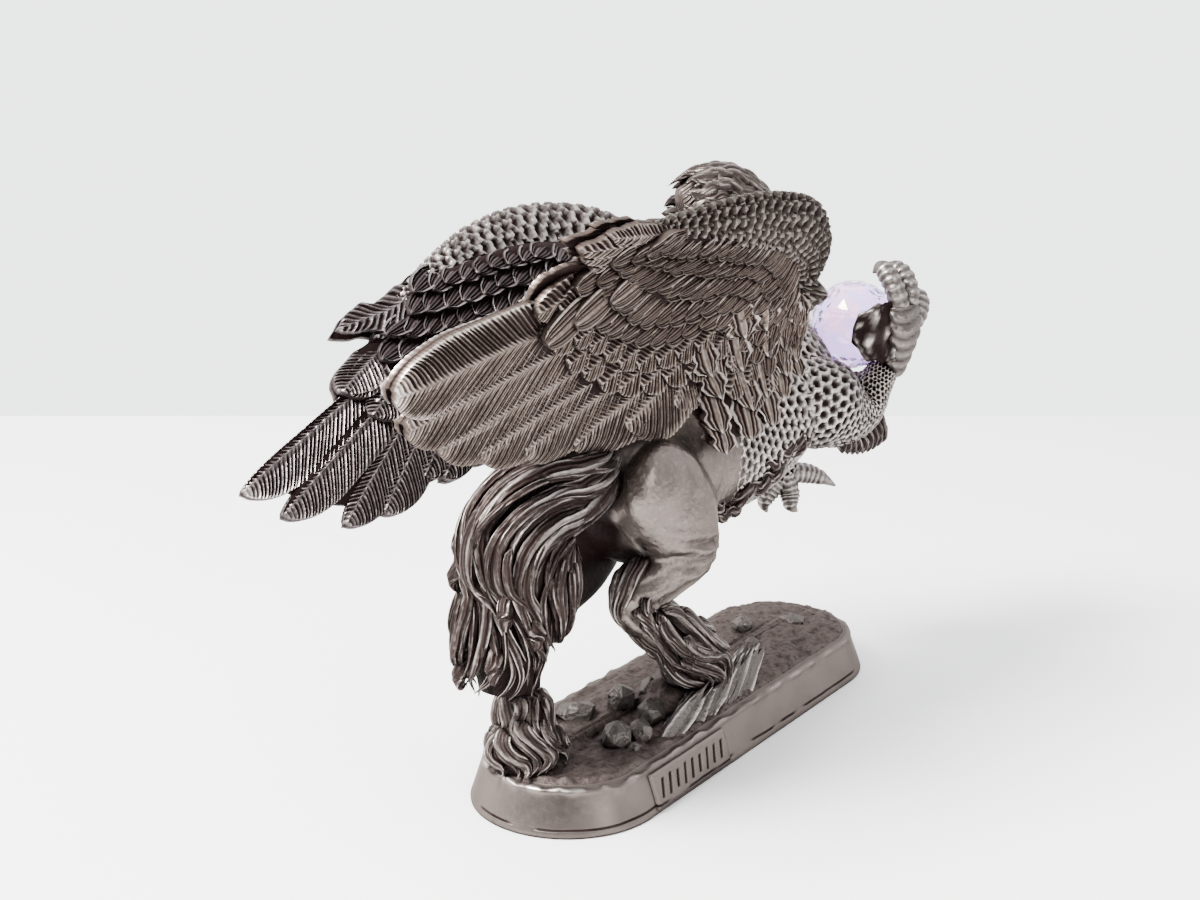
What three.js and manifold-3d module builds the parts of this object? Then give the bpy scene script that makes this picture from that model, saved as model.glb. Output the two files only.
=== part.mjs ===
// A cast pewter figurine: a hippogriff, horse behind and eagle in front, that rears from a low
// oval plinth with both wings swept back and holds a cut crystal ball up in its right claw.
// Millimetres. +X is the way the beast faces, +Y its left, +Z up. The origin is the centre of
// the plinth's underside. The horse, eagle and plinth are one casting. The wings are castings of
// their own, soldered to the shoulders, and the ball is glass.
import * as THREE from "three";
import { mergeVertices } from "three/addons/utils/BufferGeometryUtils.js";
import Module from "manifold-3d";

const wasm = await Module();
wasm.setup();

// Plinth
const PLINTH_LENGTH = 74.2;
const PLINTH_WIDTH = 24;
const PLINTH_HEIGHT = 5.2;
const PLINTH_DRAFT = 1.7; // how far the wall leans in from foot to rim
const SEAM_HEIGHT = 1.1; // of the mould seam that runs round the wall
const SEAM_DEPTH = 0.3;
const GROUND_RISE = 1.2; // how far the rough ground swells above the rim
const LABEL_LENGTH = 16.5;
const LABEL_CENTRE_X = -15.3;
const LABEL_HEIGHT = 4.4;
const LABEL_PROUD = 0.45; // how far the label stands out of the wall
const LABEL_STROKES = 9;
const STROKE_DEPTH = 0.3;

// Figure: every place and radius of the beast keeps its share of the beast's height.
const FIGURE_HEIGHT = 67.6; // from the plinth's rim to the crown of the head
const BALL_DIAMETER = 12;
const CLEARANCE = 0.3; // between castings, and between claw and ball

// Wings: the feathers are laid out on a flat sheet and take their size from the wing's length.
const WING_LENGTH = 71; // from wrist to the longest feather's tip
const QUILL_THICKNESS = 1.5;
const ARM_THICKNESS = 4.6;

const vec = (x, y, z) => new THREE.Vector3(x, y, z);
const { clamp, lerp, smoothstep } = THREE.MathUtils;
const LEFT = vec(0, 1, 0);

// The beast and its wings were laid out at these sizes, so the places below read as millimetres.
const LAID_OUT_HEIGHT = 67.6;
const LAID_OUT_RIM = 5.2;
const LAID_OUT_WING = 71;
const FIGURE_SCALE = FIGURE_HEIGHT / LAID_OUT_HEIGHT;
const WING_SCALE = WING_LENGTH / LAID_OUT_WING;

/** A laid-out place, scaled with the figure and stood on the plinth's rim. */
function place(x, y, z) {
  return vec(x * FIGURE_SCALE, y * FIGURE_SCALE, PLINTH_HEIGHT + (z - LAID_OUT_RIM) * FIGURE_SCALE);
}

/** A station of a limb, from laid-out millimetres: its centre and its two half sizes. */
function station(x, y, z, wide, deep = wide) {
  return { at: place(x, y, z), wide: wide * FIGURE_SCALE, deep: deep * FIGURE_SCALE };
}

/** A closed three.js geometry as a solid that can be joined and cut. */
function solidOf(geometry) {
  const bare = new THREE.BufferGeometry();
  bare.setIndex(geometry.index);
  bare.setAttribute("position", geometry.getAttribute("position"));
  const merged = mergeVertices(bare, 1e-4);
  return new wasm.Manifold(
    new wasm.Mesh({
      numProp: 3,
      vertProperties: merged.attributes.position.array,
      triVerts: new Uint32Array(merged.index.array),
    }),
  );
}

/** A solid as a three.js geometry with flat faces. */
function geometryOf(solid) {
  const mesh = solid.getMesh();
  const points = new Float32Array(mesh.numVert * 3);
  for (let i = 0; i < mesh.numVert; i++) {
    points.set(mesh.vertProperties.subarray(i * mesh.numProp, i * mesh.numProp + 3), i * 3);
  }
  const geometry = new THREE.BufferGeometry();
  geometry.setAttribute("position", new THREE.BufferAttribute(points, 3));
  geometry.setIndex(new THREE.BufferAttribute(mesh.triVerts, 1));
  const flat = geometry.toNonIndexed();
  flat.computeVertexNormals();
  return flat;
}

/** Several solids as one. */
function joined(solids) {
  return solids.reduce((all, solid) => all.add(solid));
}

/** The largest of a solid's separate bodies. */
function largest(solid) {
  return solid.decompose().sort((a, b) => b.volume() - a.volume())[0];
}

/** A repeatable number from 0 to 1 for each whole-numbered seed. */
function chance(seed) {
  const wave = Math.sin(seed * 127.1 + 11.7) * 43758.5453;
  return wave - Math.floor(wave);
}

/**
 * A closed body drawn along a smooth line through `stations`. `across` is the way its width is
 * measured, `pointed` closes both ends to a point, and `relief(along, around)` swells the section.
 */
function drawn(stations, { sides = 8, rings = 8, across = LEFT, grow = 0, pointed = false, relief } = {}) {
  const line = new THREE.CatmullRomCurve3(stations.map((s) => s.at));
  const sizes = new THREE.CatmullRomCurve3(stations.map((s) => vec(s.wide, s.deep, 0)));
  const form = pointed
    ? new THREE.SphereGeometry(1, sides, rings)
    : new THREE.CylinderGeometry(1, 1, 1, sides, rings);
  const position = form.getAttribute("position");
  for (let i = 0; i < position.count; i++) {
    const height = position.getY(i);
    const along = pointed ? Math.acos(clamp(height, -1, 1)) / Math.PI : 0.5 - height;
    const radius = Math.hypot(position.getX(i), position.getZ(i));
    const onEnd = radius < 0.01;
    const tangent = line.getTangent(along);
    const side = across.clone().addScaledVector(tangent, -across.dot(tangent)).normalize();
    const normal = tangent.clone().cross(side);
    const size = sizes.getPoint(along);
    const swell = relief ? relief(along, Math.atan2(position.getX(i), position.getZ(i))) : 1;
    const beyond = along > 0.999 ? grow : along < 0.001 ? -grow : 0;
    const point = line
      .getPoint(along)
      .addScaledVector(tangent, beyond)
      .addScaledVector(side, onEnd ? 0 : (position.getX(i) / radius) * (size.x * swell + grow))
      .addScaledVector(normal, onEnd ? 0 : (position.getZ(i) / radius) * (size.y * swell + grow));
    position.setXYZ(i, point.x, point.y, point.z);
  }
  return solidOf(form);
}

/** A lock of hair, or a ragged feather, along `points`: full in its first half, then pointed. */
function lock(points, radius, { flatness = 0.7, rings = 5, across = LEFT } = {}) {
  const last = points.length - 1;
  const stations = points.map((at, i) => {
    const fullness = Math.max(0.3, 1 - (i / last) ** 2);
    return { at, wide: radius * fullness, deep: radius * flatness * fullness };
  });
  return drawn(stations, { sides: 4, rings, across, pointed: true });
}

/** Rows of rounded scales: each ring swells to its row's lower edge, and dips between scales. */
function scales(rows, perRow, height) {
  return (along, around) => {
    const row = along * rows;
    const rise = row - Math.floor(row + 1e-6);
    const shift = Math.floor(row + 1e-6) % 2 ? Math.PI / perRow : 0;
    return 1 + height * rise * (0.3 + 0.7 * Math.abs(Math.cos((around + shift) * (perRow / 2))));
  };
}

/** A stadium's outline with round ends. */
function stadium(length, width, arcSteps) {
  const radius = width / 2;
  const half = length / 2 - radius;
  const outline = new THREE.Shape();
  outline.absarc(half, 0, radius, -Math.PI / 2, Math.PI / 2, false);
  outline.absarc(-half, 0, radius, Math.PI / 2, (3 * Math.PI) / 2, false);
  return new THREE.Shape(outline.getPoints(arcSteps));
}

/** The plinth: a drafted oval wall with a seam near its foot, and rough ground inside its rim. */
function plinth() {
  const half = (PLINTH_LENGTH - PLINTH_WIDTH) / 2;
  const wallInset = (z) => (PLINTH_DRAFT * z) / PLINTH_HEIGHT;
  // Each ring is [height, inset from the foot's outline].
  const rings = [
    [0, 0],
    [SEAM_HEIGHT, wallInset(SEAM_HEIGHT)],
    [SEAM_HEIGHT, wallInset(SEAM_HEIGHT) + SEAM_DEPTH],
    [PLINTH_HEIGHT, PLINTH_DRAFT],
    [PLINTH_HEIGHT + GROUND_RISE * 0.6, PLINTH_DRAFT + 1.2],
    [PLINTH_HEIGHT + GROUND_RISE, PLINTH_WIDTH * 0.24],
  ];
  const rimRing = 3;
  const form = new THREE.ExtrudeGeometry(stadium(PLINTH_LENGTH, PLINTH_WIDTH, 7), {
    depth: rings.length - 1,
    steps: rings.length - 1,
    bevelEnabled: false,
  });
  const position = form.getAttribute("position");
  for (let i = 0; i < position.count; i++) {
    const ring = Math.round(position.getZ(i));
    const [height, inset] = rings[ring];
    const x = position.getX(i);
    const y = position.getY(i);
    const spine = clamp(x, -half, half);
    const shrink = 1 - inset / (PLINTH_WIDTH / 2);
    const roughness = ring >= rimRing ? 0.3 * Math.sin(x * 1.9 + ring * 2.1) * Math.cos(y * 1.3 + x) : 0;
    position.setXYZ(i, spine + (x - spine) * shrink, y * shrink, height + roughness);
  }
  return solidOf(form);
}

/** A form that lies in the plane of the plinth's right wall, `out` mm proud of it at height z. */
function onWall(form, x, out, z) {
  form.rotateX(-Math.atan2(PLINTH_DRAFT, PLINTH_HEIGHT));
  form.translate(x, -(PLINTH_WIDTH / 2 - (PLINTH_DRAFT * z) / PLINTH_HEIGHT + out), z);
  return solidOf(form);
}

/** The raised label on the right wall. */
function label() {
  const depth = 4 * LABEL_PROUD;
  const form = new THREE.BoxGeometry(LABEL_LENGTH, depth, LABEL_HEIGHT);
  return onWall(form, LABEL_CENTRE_X, LABEL_PROUD - depth / 2, PLINTH_HEIGHT / 2);
}

/** One row of slanted strokes to cut in the label. */
function labelStrokes() {
  const pitch = LABEL_LENGTH / (LABEL_STROKES + 1);
  const strokes = [];
  for (let i = 0; i < LABEL_STROKES; i++) {
    const form = new THREE.BoxGeometry(pitch * 0.3, STROKE_DEPTH * 2, LABEL_HEIGHT * 0.5);
    form.rotateY(0.3);
    const x = LABEL_CENTRE_X + (i - (LABEL_STROKES - 1) / 2) * pitch;
    strokes.push(onWall(form, x, LABEL_PROUD, PLINTH_HEIGHT * 0.5));
  }
  return joined(strokes);
}

/** A faceted stone whose foot is in the ground. */
function stone(x, y, rise, size, seed) {
  const form = new THREE.IcosahedronGeometry(0.55, 0);
  form.scale(size.x, size.y, size.z);
  form.rotateX((chance(seed) - 0.5) * 1.2);
  form.rotateZ(chance(seed + 5) * Math.PI);
  form.translate(x, y, PLINTH_HEIGHT + rise);
  return solidOf(form);
}

/** Loose stones between the hooves, and further ones ahead. */
function stones() {
  return joined([
    stone(-21.6, -4.6, 2.2, vec(4.4, 4, 4.2), 1),
    stone(-18.2, -5.8, 1.9, vec(3.8, 3.4, 3.8), 2),
    stone(-12, 1.2, 2.2, vec(4.8, 4, 4.8), 3),
    stone(-13.6, -4.4, 2.2, vec(4.2, 4, 4.6), 4),
    stone(-17.6, 4.2, 1.4, vec(6.8, 5.2, 3.4), 5),
    stone(19.6, 2.4, 1.3, vec(3.6, 3, 4.2), 7),
    stone(26.6, -1.6, 0.9, vec(4.4, 3.8, 2.6), 8),
  ]);
}

// Slabs of slate in a row along the right rim, that lean on the heap under the hoof.
const SLABS = 6;
const FIRST_SLAB_FOOT = [-15.5, -6.9];
const LAST_SLAB_FOOT = [0, -7.4];
const SLAB_LEAN = vec(8.4, 0.6, 5);

/** The heap of rock under the right hoof, with the slabs against it. */
function rockHeap() {
  const heap = new THREE.DodecahedronGeometry(0.5);
  heap.scale(19, 9.5, 10);
  heap.translate(-3, -3.2, PLINTH_HEIGHT + 0.4);
  const parts = [solidOf(heap)];
  for (let i = 0; i < SLABS; i++) {
    const share = i / (SLABS - 1);
    const foot = vec(
      lerp(FIRST_SLAB_FOOT[0], LAST_SLAB_FOOT[0], share),
      lerp(FIRST_SLAB_FOOT[1], LAST_SLAB_FOOT[1], share),
      PLINTH_HEIGHT,
    );
    const top = foot.clone().addScaledVector(SLAB_LEAN, 1 - 0.3 * Math.abs(share - 0.4) + 0.2 * chance(i));
    const middle = foot.clone().lerp(top, 0.55);
    const stations = [
      { at: foot, wide: 0.7, deep: 1.2 },
      { at: middle, wide: 1.2, deep: 1.8 },
      { at: top, wide: 0.6, deep: 0.8 },
    ];
    parts.push(drawn(stations, { sides: 4, rings: 2, across: vec(0.5, -0.4, -0.8) }));
  }
  return joined(parts);
}

// Horse
const TRUNK = [
  station(-20.4, 0, 37, 4, 3.6),
  station(-16.5, 0, 37.4, 7, 6.4),
  station(-8, 0, 36.8, 7.6, 7.4),
  station(1, 0, 35.9, 7.8, 7.8),
  station(9, 0, 36.6, 8, 8.4),
  station(16, 0, 39.2, 8.4, 8.6),
  station(23, -0.3, 42.2, 7.8, 7.8),
  station(27.6, -0.5, 44.6, 5, 5),
];
const RIGHT_HIND = [
  station(-17, -4.2, 41, 3.4, 3.6),
  station(-15.4, -5, 37.6, 4.8, 6.8),
  station(-12, -6.2, 33, 4.8, 6.6),
  station(-10.8, -6.8, 28.8, 4, 4.3),
  station(-13.8, -6.2, 26.4, 3, 3.4),
  station(-18.6, -5, 24.2, 2.2, 2.5),
  station(-19.4, -4.9, 22.8, 2, 2.2),
  station(-14.8, -5.4, 19.4, 2, 2.4),
  station(-9.2, -6, 16.2, 2.4, 2.9),
  station(-5.4, -5.9, 12.6, 3, 3.8),
  station(-4, -5.4, 9, 2.8, 3.6),
];
const LEFT_HIND = [
  station(-17, 4, 40.6, 3.4, 3.6),
  station(-14, 5.2, 36.6, 4.6, 6.4),
  station(-12.2, 5.6, 30.4, 4.4, 6.3),
  station(-14.6, 5.3, 26.2, 3.4, 5),
  station(-21, 4.6, 23.4, 2.6, 3.6),
  station(-27.2, 3.6, 20.4, 2.1, 2.8),
  station(-30, 3, 15.4, 1.9, 2.2),
  station(-30.6, 2.2, 10.6, 2.8, 3),
  station(-30.8, 1.8, 7.4, 3.6, 3.8),
  station(-30.8, 1.8, 4, 3.4, 3.6),
];

/** Locks that wind round a limb: `count` ribs, `height` of the radius deep, waving as they run. */
function locks(count, height, wave) {
  return (along, around) => 1 + height * Math.cos(count * (around + wave * Math.sin(along * 9)));
}

const RIGHT_HAIR = [
  station(-17, -5.3, 22.4, 2.2, 2.4),
  station(-12.4, -5.7, 18.4, 2.8, 3.3),
  station(-7.6, -5.9, 13.9, 3.4, 4.1),
  station(-4.6, -5.3, 10.6, 3.7, 4.8),
];
const LEFT_HAIR = [
  station(-30.6, 3.1, 15, 2, 2.3),
  station(-30.5, 2.4, 11.4, 3.1, 3.5),
  station(-30.8, 2, 8, 4, 4.4),
  station(-30.8, 1.8, 5.4, 4.6, 5),
];

/** A skirt of hair that falls round a hoof, along `stations`, and flares to ragged ends. */
function hoofHair(stations) {
  const flared = (along, around) => locks(4, 0.2, 0.25)(along, around) * (1 + 0.1 * Math.sin(along * 14));
  return drawn(stations, { sides: 12, rings: 4, relief: flared });
}

// The tail's stations run from the dock, up and over, and down past the left hock.
const TAIL = [
  station(-15, 0, 38.6, 2.8),
  station(-20.6, 0.3, 38.8, 3.4),
  station(-25.6, 0.5, 38.8, 4.2),
  station(-30.4, 1, 37.2, 5.3),
  station(-32.6, 1.2, 33.8, 5.9),
  station(-33.2, 1.4, 28.4, 6),
  station(-34.8, 1.8, 23.4, 5.6),
  station(-35.2, 1.8, 18.8, 4.3),
  station(-35.6, 1.9, 15.8, 3.2),
];
// Locks that stand out from the tail: [turn round it, first and last share of its length].
const LOOSE_LOCKS = [[2.4, 0.45, 0.98], [-0.6, 0.35, 0.95], [0.6, 0.5, 1]];
const LOOSE_LOCK_RADIUS = 2;

/** The tail: a mass of wavy locks, with a few that stand out from it and curl. */
function tail() {
  const line = new THREE.CatmullRomCurve3(TAIL.map((s) => s.at));
  const sizes = new THREE.CatmullRomCurve3(TAIL.map((s) => vec(s.wide, 0, 0)));
  const parts = [drawn(TAIL, { sides: 12, rings: 10, relief: locks(4, 0.14, 0.5) })];
  LOOSE_LOCKS.forEach(([angle, first, last], i) => {
    const points = [];
    for (let j = 0; j <= 5; j++) {
      const along = lerp(first, last, j / 5);
      const tangent = line.getTangent(along);
      const side = LEFT.clone().addScaledVector(tangent, -tangent.y).normalize();
      const normal = tangent.clone().cross(side);
      const turn = angle + 0.4 * Math.sin(along * 9 + i);
      const out = sizes.getPoint(along).x * (1 + 0.14 * Math.sin(j * 1.9 + i));
      const point = line.getPoint(along);
      point.addScaledVector(side, Math.sin(turn) * out).addScaledVector(normal, Math.cos(turn) * out);
      points.push(point);
    }
    parts.push(lock(points, LOOSE_LOCK_RADIUS * FIGURE_SCALE, { rings: 4 }));
  });
  return joined(parts);
}

// Eagle
const NECK = [
  station(15, 0, 37.5, 7.4, 7),
  station(22.4, -0.3, 42.6, 8, 7.3),
  station(20.4, 0.6, 49, 5.2, 5.7),
  station(18.8, 0.2, 55.4, 4.6, 4.8),
  station(16.8, -1, 60.8, 4.6, 4.8),
  station(12.4, -0.9, 65.2, 4.2, 4.2),
];
const HEAD_AT = [10.2, -0.8, 67.4];
const GAZE = vec(0.72, -0.6, -0.34).normalize();

/** The head: skull, hooked beak, brow ridges and the ragged hackles behind. */
function head() {
  const centre = place(...HEAD_AT);
  const left = vec(0, 0, 1).cross(GAZE).normalize();
  const up = GAZE.clone().cross(left);
  const at = (ahead, aside, above) => {
    const offset = GAZE.clone().multiplyScalar(ahead).addScaledVector(left, aside).addScaledVector(up, above);
    return centre.clone().addScaledVector(offset, FIGURE_SCALE);
  };
  const s = (ahead, above, wide, deep) => ({
    at: at(ahead, 0, above),
    wide: wide * FIGURE_SCALE,
    deep: deep * FIGURE_SCALE,
  });
  const skull = [
    s(-5, -1.2, 2.8, 2.4),
    s(-3, 0, 3.9, 3.4),
    s(0.2, 0.4, 4, 3.7),
    s(3, 0, 3, 2.9),
    s(4.6, -0.5, 1.9, 2),
  ];
  const beak = [s(3.2, -0.4, 1.8, 2.1), s(5.6, -0.2, 1.4, 1.8), s(7.6, -1, 0.9, 1.2), s(8.4, -3, 0.5, 0.6)];
  const jaw = [s(2.4, -2, 1.5, 1), s(5, -2.4, 1, 0.7), s(6.6, -2.6, 0.4, 0.3)];
  const parts = [
    drawn(skull, { sides: 8, rings: 5, across: left }),
    drawn(beak, { sides: 6, rings: 4, across: left }),
    drawn(jaw, { sides: 5, rings: 2, across: left }),
  ];
  for (const side of [-1, 1]) {
    const brow = [at(4, side * 1.6, 1.5), at(1.4, side * 3.2, 1.9), at(-1.6, side * 3.4, 1.3)];
    parts.push(lock(brow, FIGURE_SCALE, { rings: 3 }));
  }
  const hackles = 6;
  for (let i = 0; i < hackles; i++) {
    const turn = ((i / (hackles - 1)) * 2 - 1) * 2.1;
    const aside = Math.sin(turn) * 3.2;
    const above = Math.cos(turn) * 2.4;
    const length = 7.6 + 1.6 * chance(i);
    const points = [
      at(2, aside * 0.8, above + 0.4),
      at(-length * 0.5, aside * 1.15, above + 0.2),
      at(-length, aside * 1.2, above * 0.9 - 2.6 - 1.2 * chance(i + 7)),
    ];
    const crosswise = left.clone().multiplyScalar(above).addScaledVector(up, -aside).normalize();
    parts.push(lock(points, 2.2 * FIGURE_SCALE, { rings: 3, flatness: 0.55, across: crosswise }));
  }
  return joined(parts);
}

const TOE_RADIUS = 1.4;

/** A ringed toe through `points`, ending in a hooked nail. */
function toe(points, radius, rings) {
  const last = points.length - 1;
  const stations = points.map((at, i) => {
    const size = i === last ? radius * 0.25 : i === last - 1 ? radius * 0.75 : radius;
    return { at, wide: size, deep: size };
  });
  const ringed = (along) => 1 + (along < 0.7 && Math.round(along * rings) % 2 ? 0.2 : 0);
  return drawn(stations, { sides: 5, rings, relief: ringed });
}

// The raised right claw cups the ball from its right, with three toes up and over and one below.
const BALL_CENTRE = place(33.3, -6, 48.5);
const RIGHT_ARM = [
  station(17, -3.6, 41, 5, 6),
  station(23, -7, 39.6, 5, 6),
  station(26.4, -8.4, 38, 4, 4.6),
  station(29.6, -9.5, 38.2, 3, 3.4),
  station(31.7, -10.3, 40.8, 2.3, 2.5),
  station(33.2, -11.1, 43.2, 1.8, 1.8),
];
function rightClaw() {
  const palm = [
    station(34.4, -11.2, 42.6, 1.9, 1.9),
    station(34, -12.6, 45.6, 2.5, 1.8),
    station(33.8, -13.4, 48.8, 3.5, 1.8),
    station(34, -13, 52, 3.4, 1.5),
  ];
  const ahead = vec(1, 0, 0);
  const toePlaces = [
    [[32.8, -13.2, 50.4], [32.4, -12.8, 53.4], [32.6, -11.4, 55.8], [33.2, -9.8, 56.8], [33.4, -8.6, 55.8]],
    [[34.6, -13.2, 50.6], [35.6, -13, 53.4], [36.2, -11.6, 55.6], [36.2, -9.8, 56.2], [36, -8.8, 54.8]],
    [[36, -13, 48.4], [38.2, -13.2, 50], [40, -12.4, 51.6], [40.4, -10.8, 51.8], [40.2, -9.8, 50.6]],
    [[34, -12, 45], [33.6, -9.8, 41.8], [33.2, -7, 40.6], [32.8, -4.2, 41], [32.6, -2.4, 42.4]],
  ];
  const paths = toePlaces.map((points) => points.map((p) => place(...p)));
  const toes = paths.map((path) => toe(path, TOE_RADIUS * FIGURE_SCALE, 6));
  return joined([drawn(palm, { sides: 7, rings: 4, across: ahead }), ...toes]);
}

// The lowered left foreleg, with an open foot under the breast.
const LEFT_ARM = [
  station(17, 3.6, 39.6, 5, 5.6),
  station(21.6, 5.4, 36, 4.4, 5),
  station(25.4, 4.2, 32.2, 3.2, 3.6),
  station(27.2, 2, 29, 2.2, 2.4),
  station(28, 0.8, 27, 2, 2.1),
];
function leftFoot() {
  const wrist = [27.8, 1, 27.4];
  const toePlaces = [
    [[30.6, -0.6, 27], [32.8, -2.2, 26], [34.9, -3.4, 24.5]],
    [[30.8, 2, 26.8], [33.4, 2.6, 25.4], [34.6, 2.8, 22.8]],
    [[28, 0.2, 24.6], [27.8, -0.2, 22.9], [29.3, -0.4, 21.6]],
    [[26.2, 2, 25.4], [25.2, 2.6, 23.4], [26, 2.6, 21.8]],
  ];
  const paths = toePlaces.map((points) => [wrist, ...points].map((p) => place(...p)));
  return joined(paths.map((path) => toe(path, TOE_RADIUS * FIGURE_SCALE, 5)));
}

// Ragged breast feathers run back along this line, low on the belly's right side.
const FRINGE = [[21, -6.4, 37], [15, -6.8, 35.2], [9, -6.6, 33.2], [3, -5.6, 31], [-3, -4.6, 29.6]];
const FRINGE_TUFTS = 5;
const FRINGE_DROP = 1.6; // how far below the line a tuft's point hangs

/** The fringe of breast feathers, each tuft's point over the root of the next. */
function breastFringe() {
  const line = new THREE.CatmullRomCurve3(FRINGE.map((at) => place(...at)));
  const tufts = [];
  for (let i = 0; i < FRINGE_TUFTS; i++) {
    const points = [0, 0.5, 1].map((share) => {
      const at = line.getPoint((i + share * 1.4) / (FRINGE_TUFTS + 0.4));
      at.z -= FRINGE_DROP * share * share * FIGURE_SCALE;
      return at;
    });
    tufts.push(lock(points, 2.2 * FIGURE_SCALE, { rings: 3 }));
  }
  return joined(tufts);
}

/** Feathers that hang from the raised elbow. */
function elbowTufts() {
  const roots = [[24, -7.6, 36], [27.2, -8.8, 34.8], [30, -9.6, 35.4]];
  const tufts = roots.map(([x, y, z]) => {
    const points = [place(x, y, z + 1.6), place(x + 0.6, y - 0.4, z - 1), place(x + 1.4, y - 0.4, z - 3)];
    return lock(points, 2.4 * FIGURE_SCALE, { rings: 3 });
  });
  return joined(tufts);
}

// The parts that the wings lie against, larger all round by `grow`.
function flank(grow) {
  return [
    drawn(TRUNK, { sides: 10, rings: 8, grow }),
    drawn(NECK, { sides: 10, rings: 9, grow, relief: scales(4.5, 5, 0.2) }),
    drawn(RIGHT_ARM, { sides: 10, rings: 8, grow, relief: scales(4, 5, 0.3) }),
    drawn(LEFT_ARM, { sides: 8, rings: 6, grow, relief: scales(3, 4, 0.3) }),
    drawn(RIGHT_HIND, { sides: 8, rings: 12, grow }),
    drawn(LEFT_HIND, { sides: 8, rings: 11, grow }),
  ];
}

// Wings. A wing's own sheet is measured `back` from the wrist and `down` from its upper edge.
const sheetCurve = (points) => new THREE.CatmullRomCurve3(points.map(([back, down]) => vec(back, down, 0)));

// The lines that the feathers run between, each from the wing's outer end to its root: the arm's
// lower edge, the ends of four rows of coverts, and the tips of the quills and tertials.
const RIGHT_LINES = [
  [[33, 0.4], [25, 1], [17, 1.8], [10.8, 3.2], [7, 5.6], [4.2, 8.4], [2, 11], [0.4, 13.2], [-1.8, 15]],
  [[39.6, 1.8], [33, 3], [25.6, 4.7], [18.4, 5.5], [13, 6.4], [9.4, 9], [6, 12.6], [3, 15.4], [-0.8, 17]],
  [
    [43, 3.8], [37.6, 7.2], [31, 10.4], [24, 11.4], [18.6, 10.2],
    [14.6, 10.8], [9.8, 13.6], [5.4, 17], [1.2, 18.8],
  ],
  [
    [46, 6], [41.4, 10.6], [35, 13.8], [27.4, 15.7], [21.6, 15],
    [17.2, 14], [12.4, 16.4], [7.6, 19.6], [3.6, 20.8],
  ],
  [
    [50, 8], [46.2, 12.4], [40.2, 16], [33.6, 19], [27, 19.9],
    [21.8, 18.8], [16.4, 19.6], [10.6, 22.6], [6, 22.6],
  ],
  [
    [69.4, 12.8], [66.4, 18.6], [58.4, 22.9], [48.6, 25.6], [38.6, 26.4],
    [28.4, 24.4], [19.8, 22.8], [14.2, 26.8], [8.4, 25.6],
  ],
].map(sheetCurve);
const LEFT_LINES = [
  [
    [33, 0.4], [26, 1.6], [18, 2.2], [11.6, 3.4], [7.4, 5.8],
    [4.4, 8.6], [2, 11.4], [0.4, 13.6], [-1.8, 15.4],
  ],
  [
    [39.4, 1.9], [34, 4.5], [27.4, 5.7], [20.4, 7], [14.2, 8.4],
    [10, 10.8], [6.4, 13.6], [3.2, 16], [-0.8, 17.4],
  ],
  [[43, 3.8], [37.4, 6.4], [30.6, 8], [24, 9.3], [17.8, 10.8], [13, 13.2], [9, 16], [5.2, 18.2], [1, 19.4]],
  [
    [46.4, 5.8], [41, 8.4], [34.4, 10.2], [27.2, 11.9], [20.8, 13.6],
    [15.6, 16], [11, 18.6], [6.8, 20.6], [3.2, 21.2],
  ],
  [
    [51.2, 8.4], [47.4, 11.8], [40.6, 14], [33, 15.8], [26, 17.4],
    [19.6, 19.4], [13.6, 21.6], [9, 23], [5.6, 22.6],
  ],
  [
    [69, 12.8], [65.6, 18.8], [59.2, 23.2], [51.6, 24.3], [44, 23.6],
    [34, 24.4], [24, 24.6], [15, 25.8], [9, 25.2],
  ],
].map(sheetCurve);

const WING_POSES = {
  right_wing: {
    outward: -1,
    arch: 0,
    chord: 1,
    wrist: [12, -13, 67],
    upper: [-35, -9, 69.7],
    tip: [-55, -2, 55.7],
    lines: RIGHT_LINES,
  },
  left_wing: {
    outward: 1,
    arch: 2.8,
    chord: 0.92,
    wrist: [12, 19.5, 63.8],
    upper: [-35, 27, 55.5],
    tip: [-54, 23, 42],
    lines: LEFT_LINES,
  },
};

// The arm's root as [back, down, inward]: it stays in the flank when the wing's length changes.
const SHOULDER = [9, 24.6, 4];

/** The frame that sets one wing's sheet in space. */
function wingFrame({ outward, arch, chord, wrist, upper, tip, lines }) {
  const origin = place(...wrist);
  const back = place(...upper).sub(origin).normalize();
  const down = place(...tip).sub(origin);
  down.addScaledVector(back, -down.dot(back)).normalize();
  const out = back.clone().cross(down);
  const hand = Math.sign(out.y) * outward; // 1 where back, down and out are right-handed
  out.multiplyScalar(hand);
  const frame = { origin, back, down, out, hand, arch, chord, lines };
  const [rootBack, rootDown, rootInward] = SHOULDER;
  const root = sheetOffset(frame, rootBack, rootDown).addScaledVector(out, -rootInward);
  origin.addScaledVector(root, FIGURE_SCALE - WING_SCALE);
  return frame;
}

/** The way from the wrist to a place on the sheet, which bows in and flares out over the beast's side. */
function sheetOffset(frame, back, down) {
  const lift = frame.arch * Math.sin(Math.PI * clamp((back - 2) / 38, 0, 1)) * (1 - smoothstep(down, 5, 26));
  const narrowed = down > 0 ? down * lerp(1, frame.chord, smoothstep(back, 12, 44)) : down;
  const bow = -2.2 * Math.sin(Math.PI * clamp(back / 66, 0, 1)) * Math.sin(Math.PI * clamp(down / 26, 0, 1));
  const flare = 6.5 * smoothstep(down, 15, 29) * (1 - smoothstep(back, 16, 36));
  return vec(0, 0, 0)
    .addScaledVector(frame.back, back)
    .addScaledVector(frame.down, narrowed - lift)
    .addScaledVector(frame.out, bow + flare);
}

/** A place on the wing's sheet, or `proud` of it. */
function onWing(frame, back, down, proud = 0) {
  const offset = sheetOffset(frame, back, down);
  return frame.origin.clone().addScaledVector(offset, WING_SCALE).addScaledVector(frame.out, proud);
}

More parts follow.
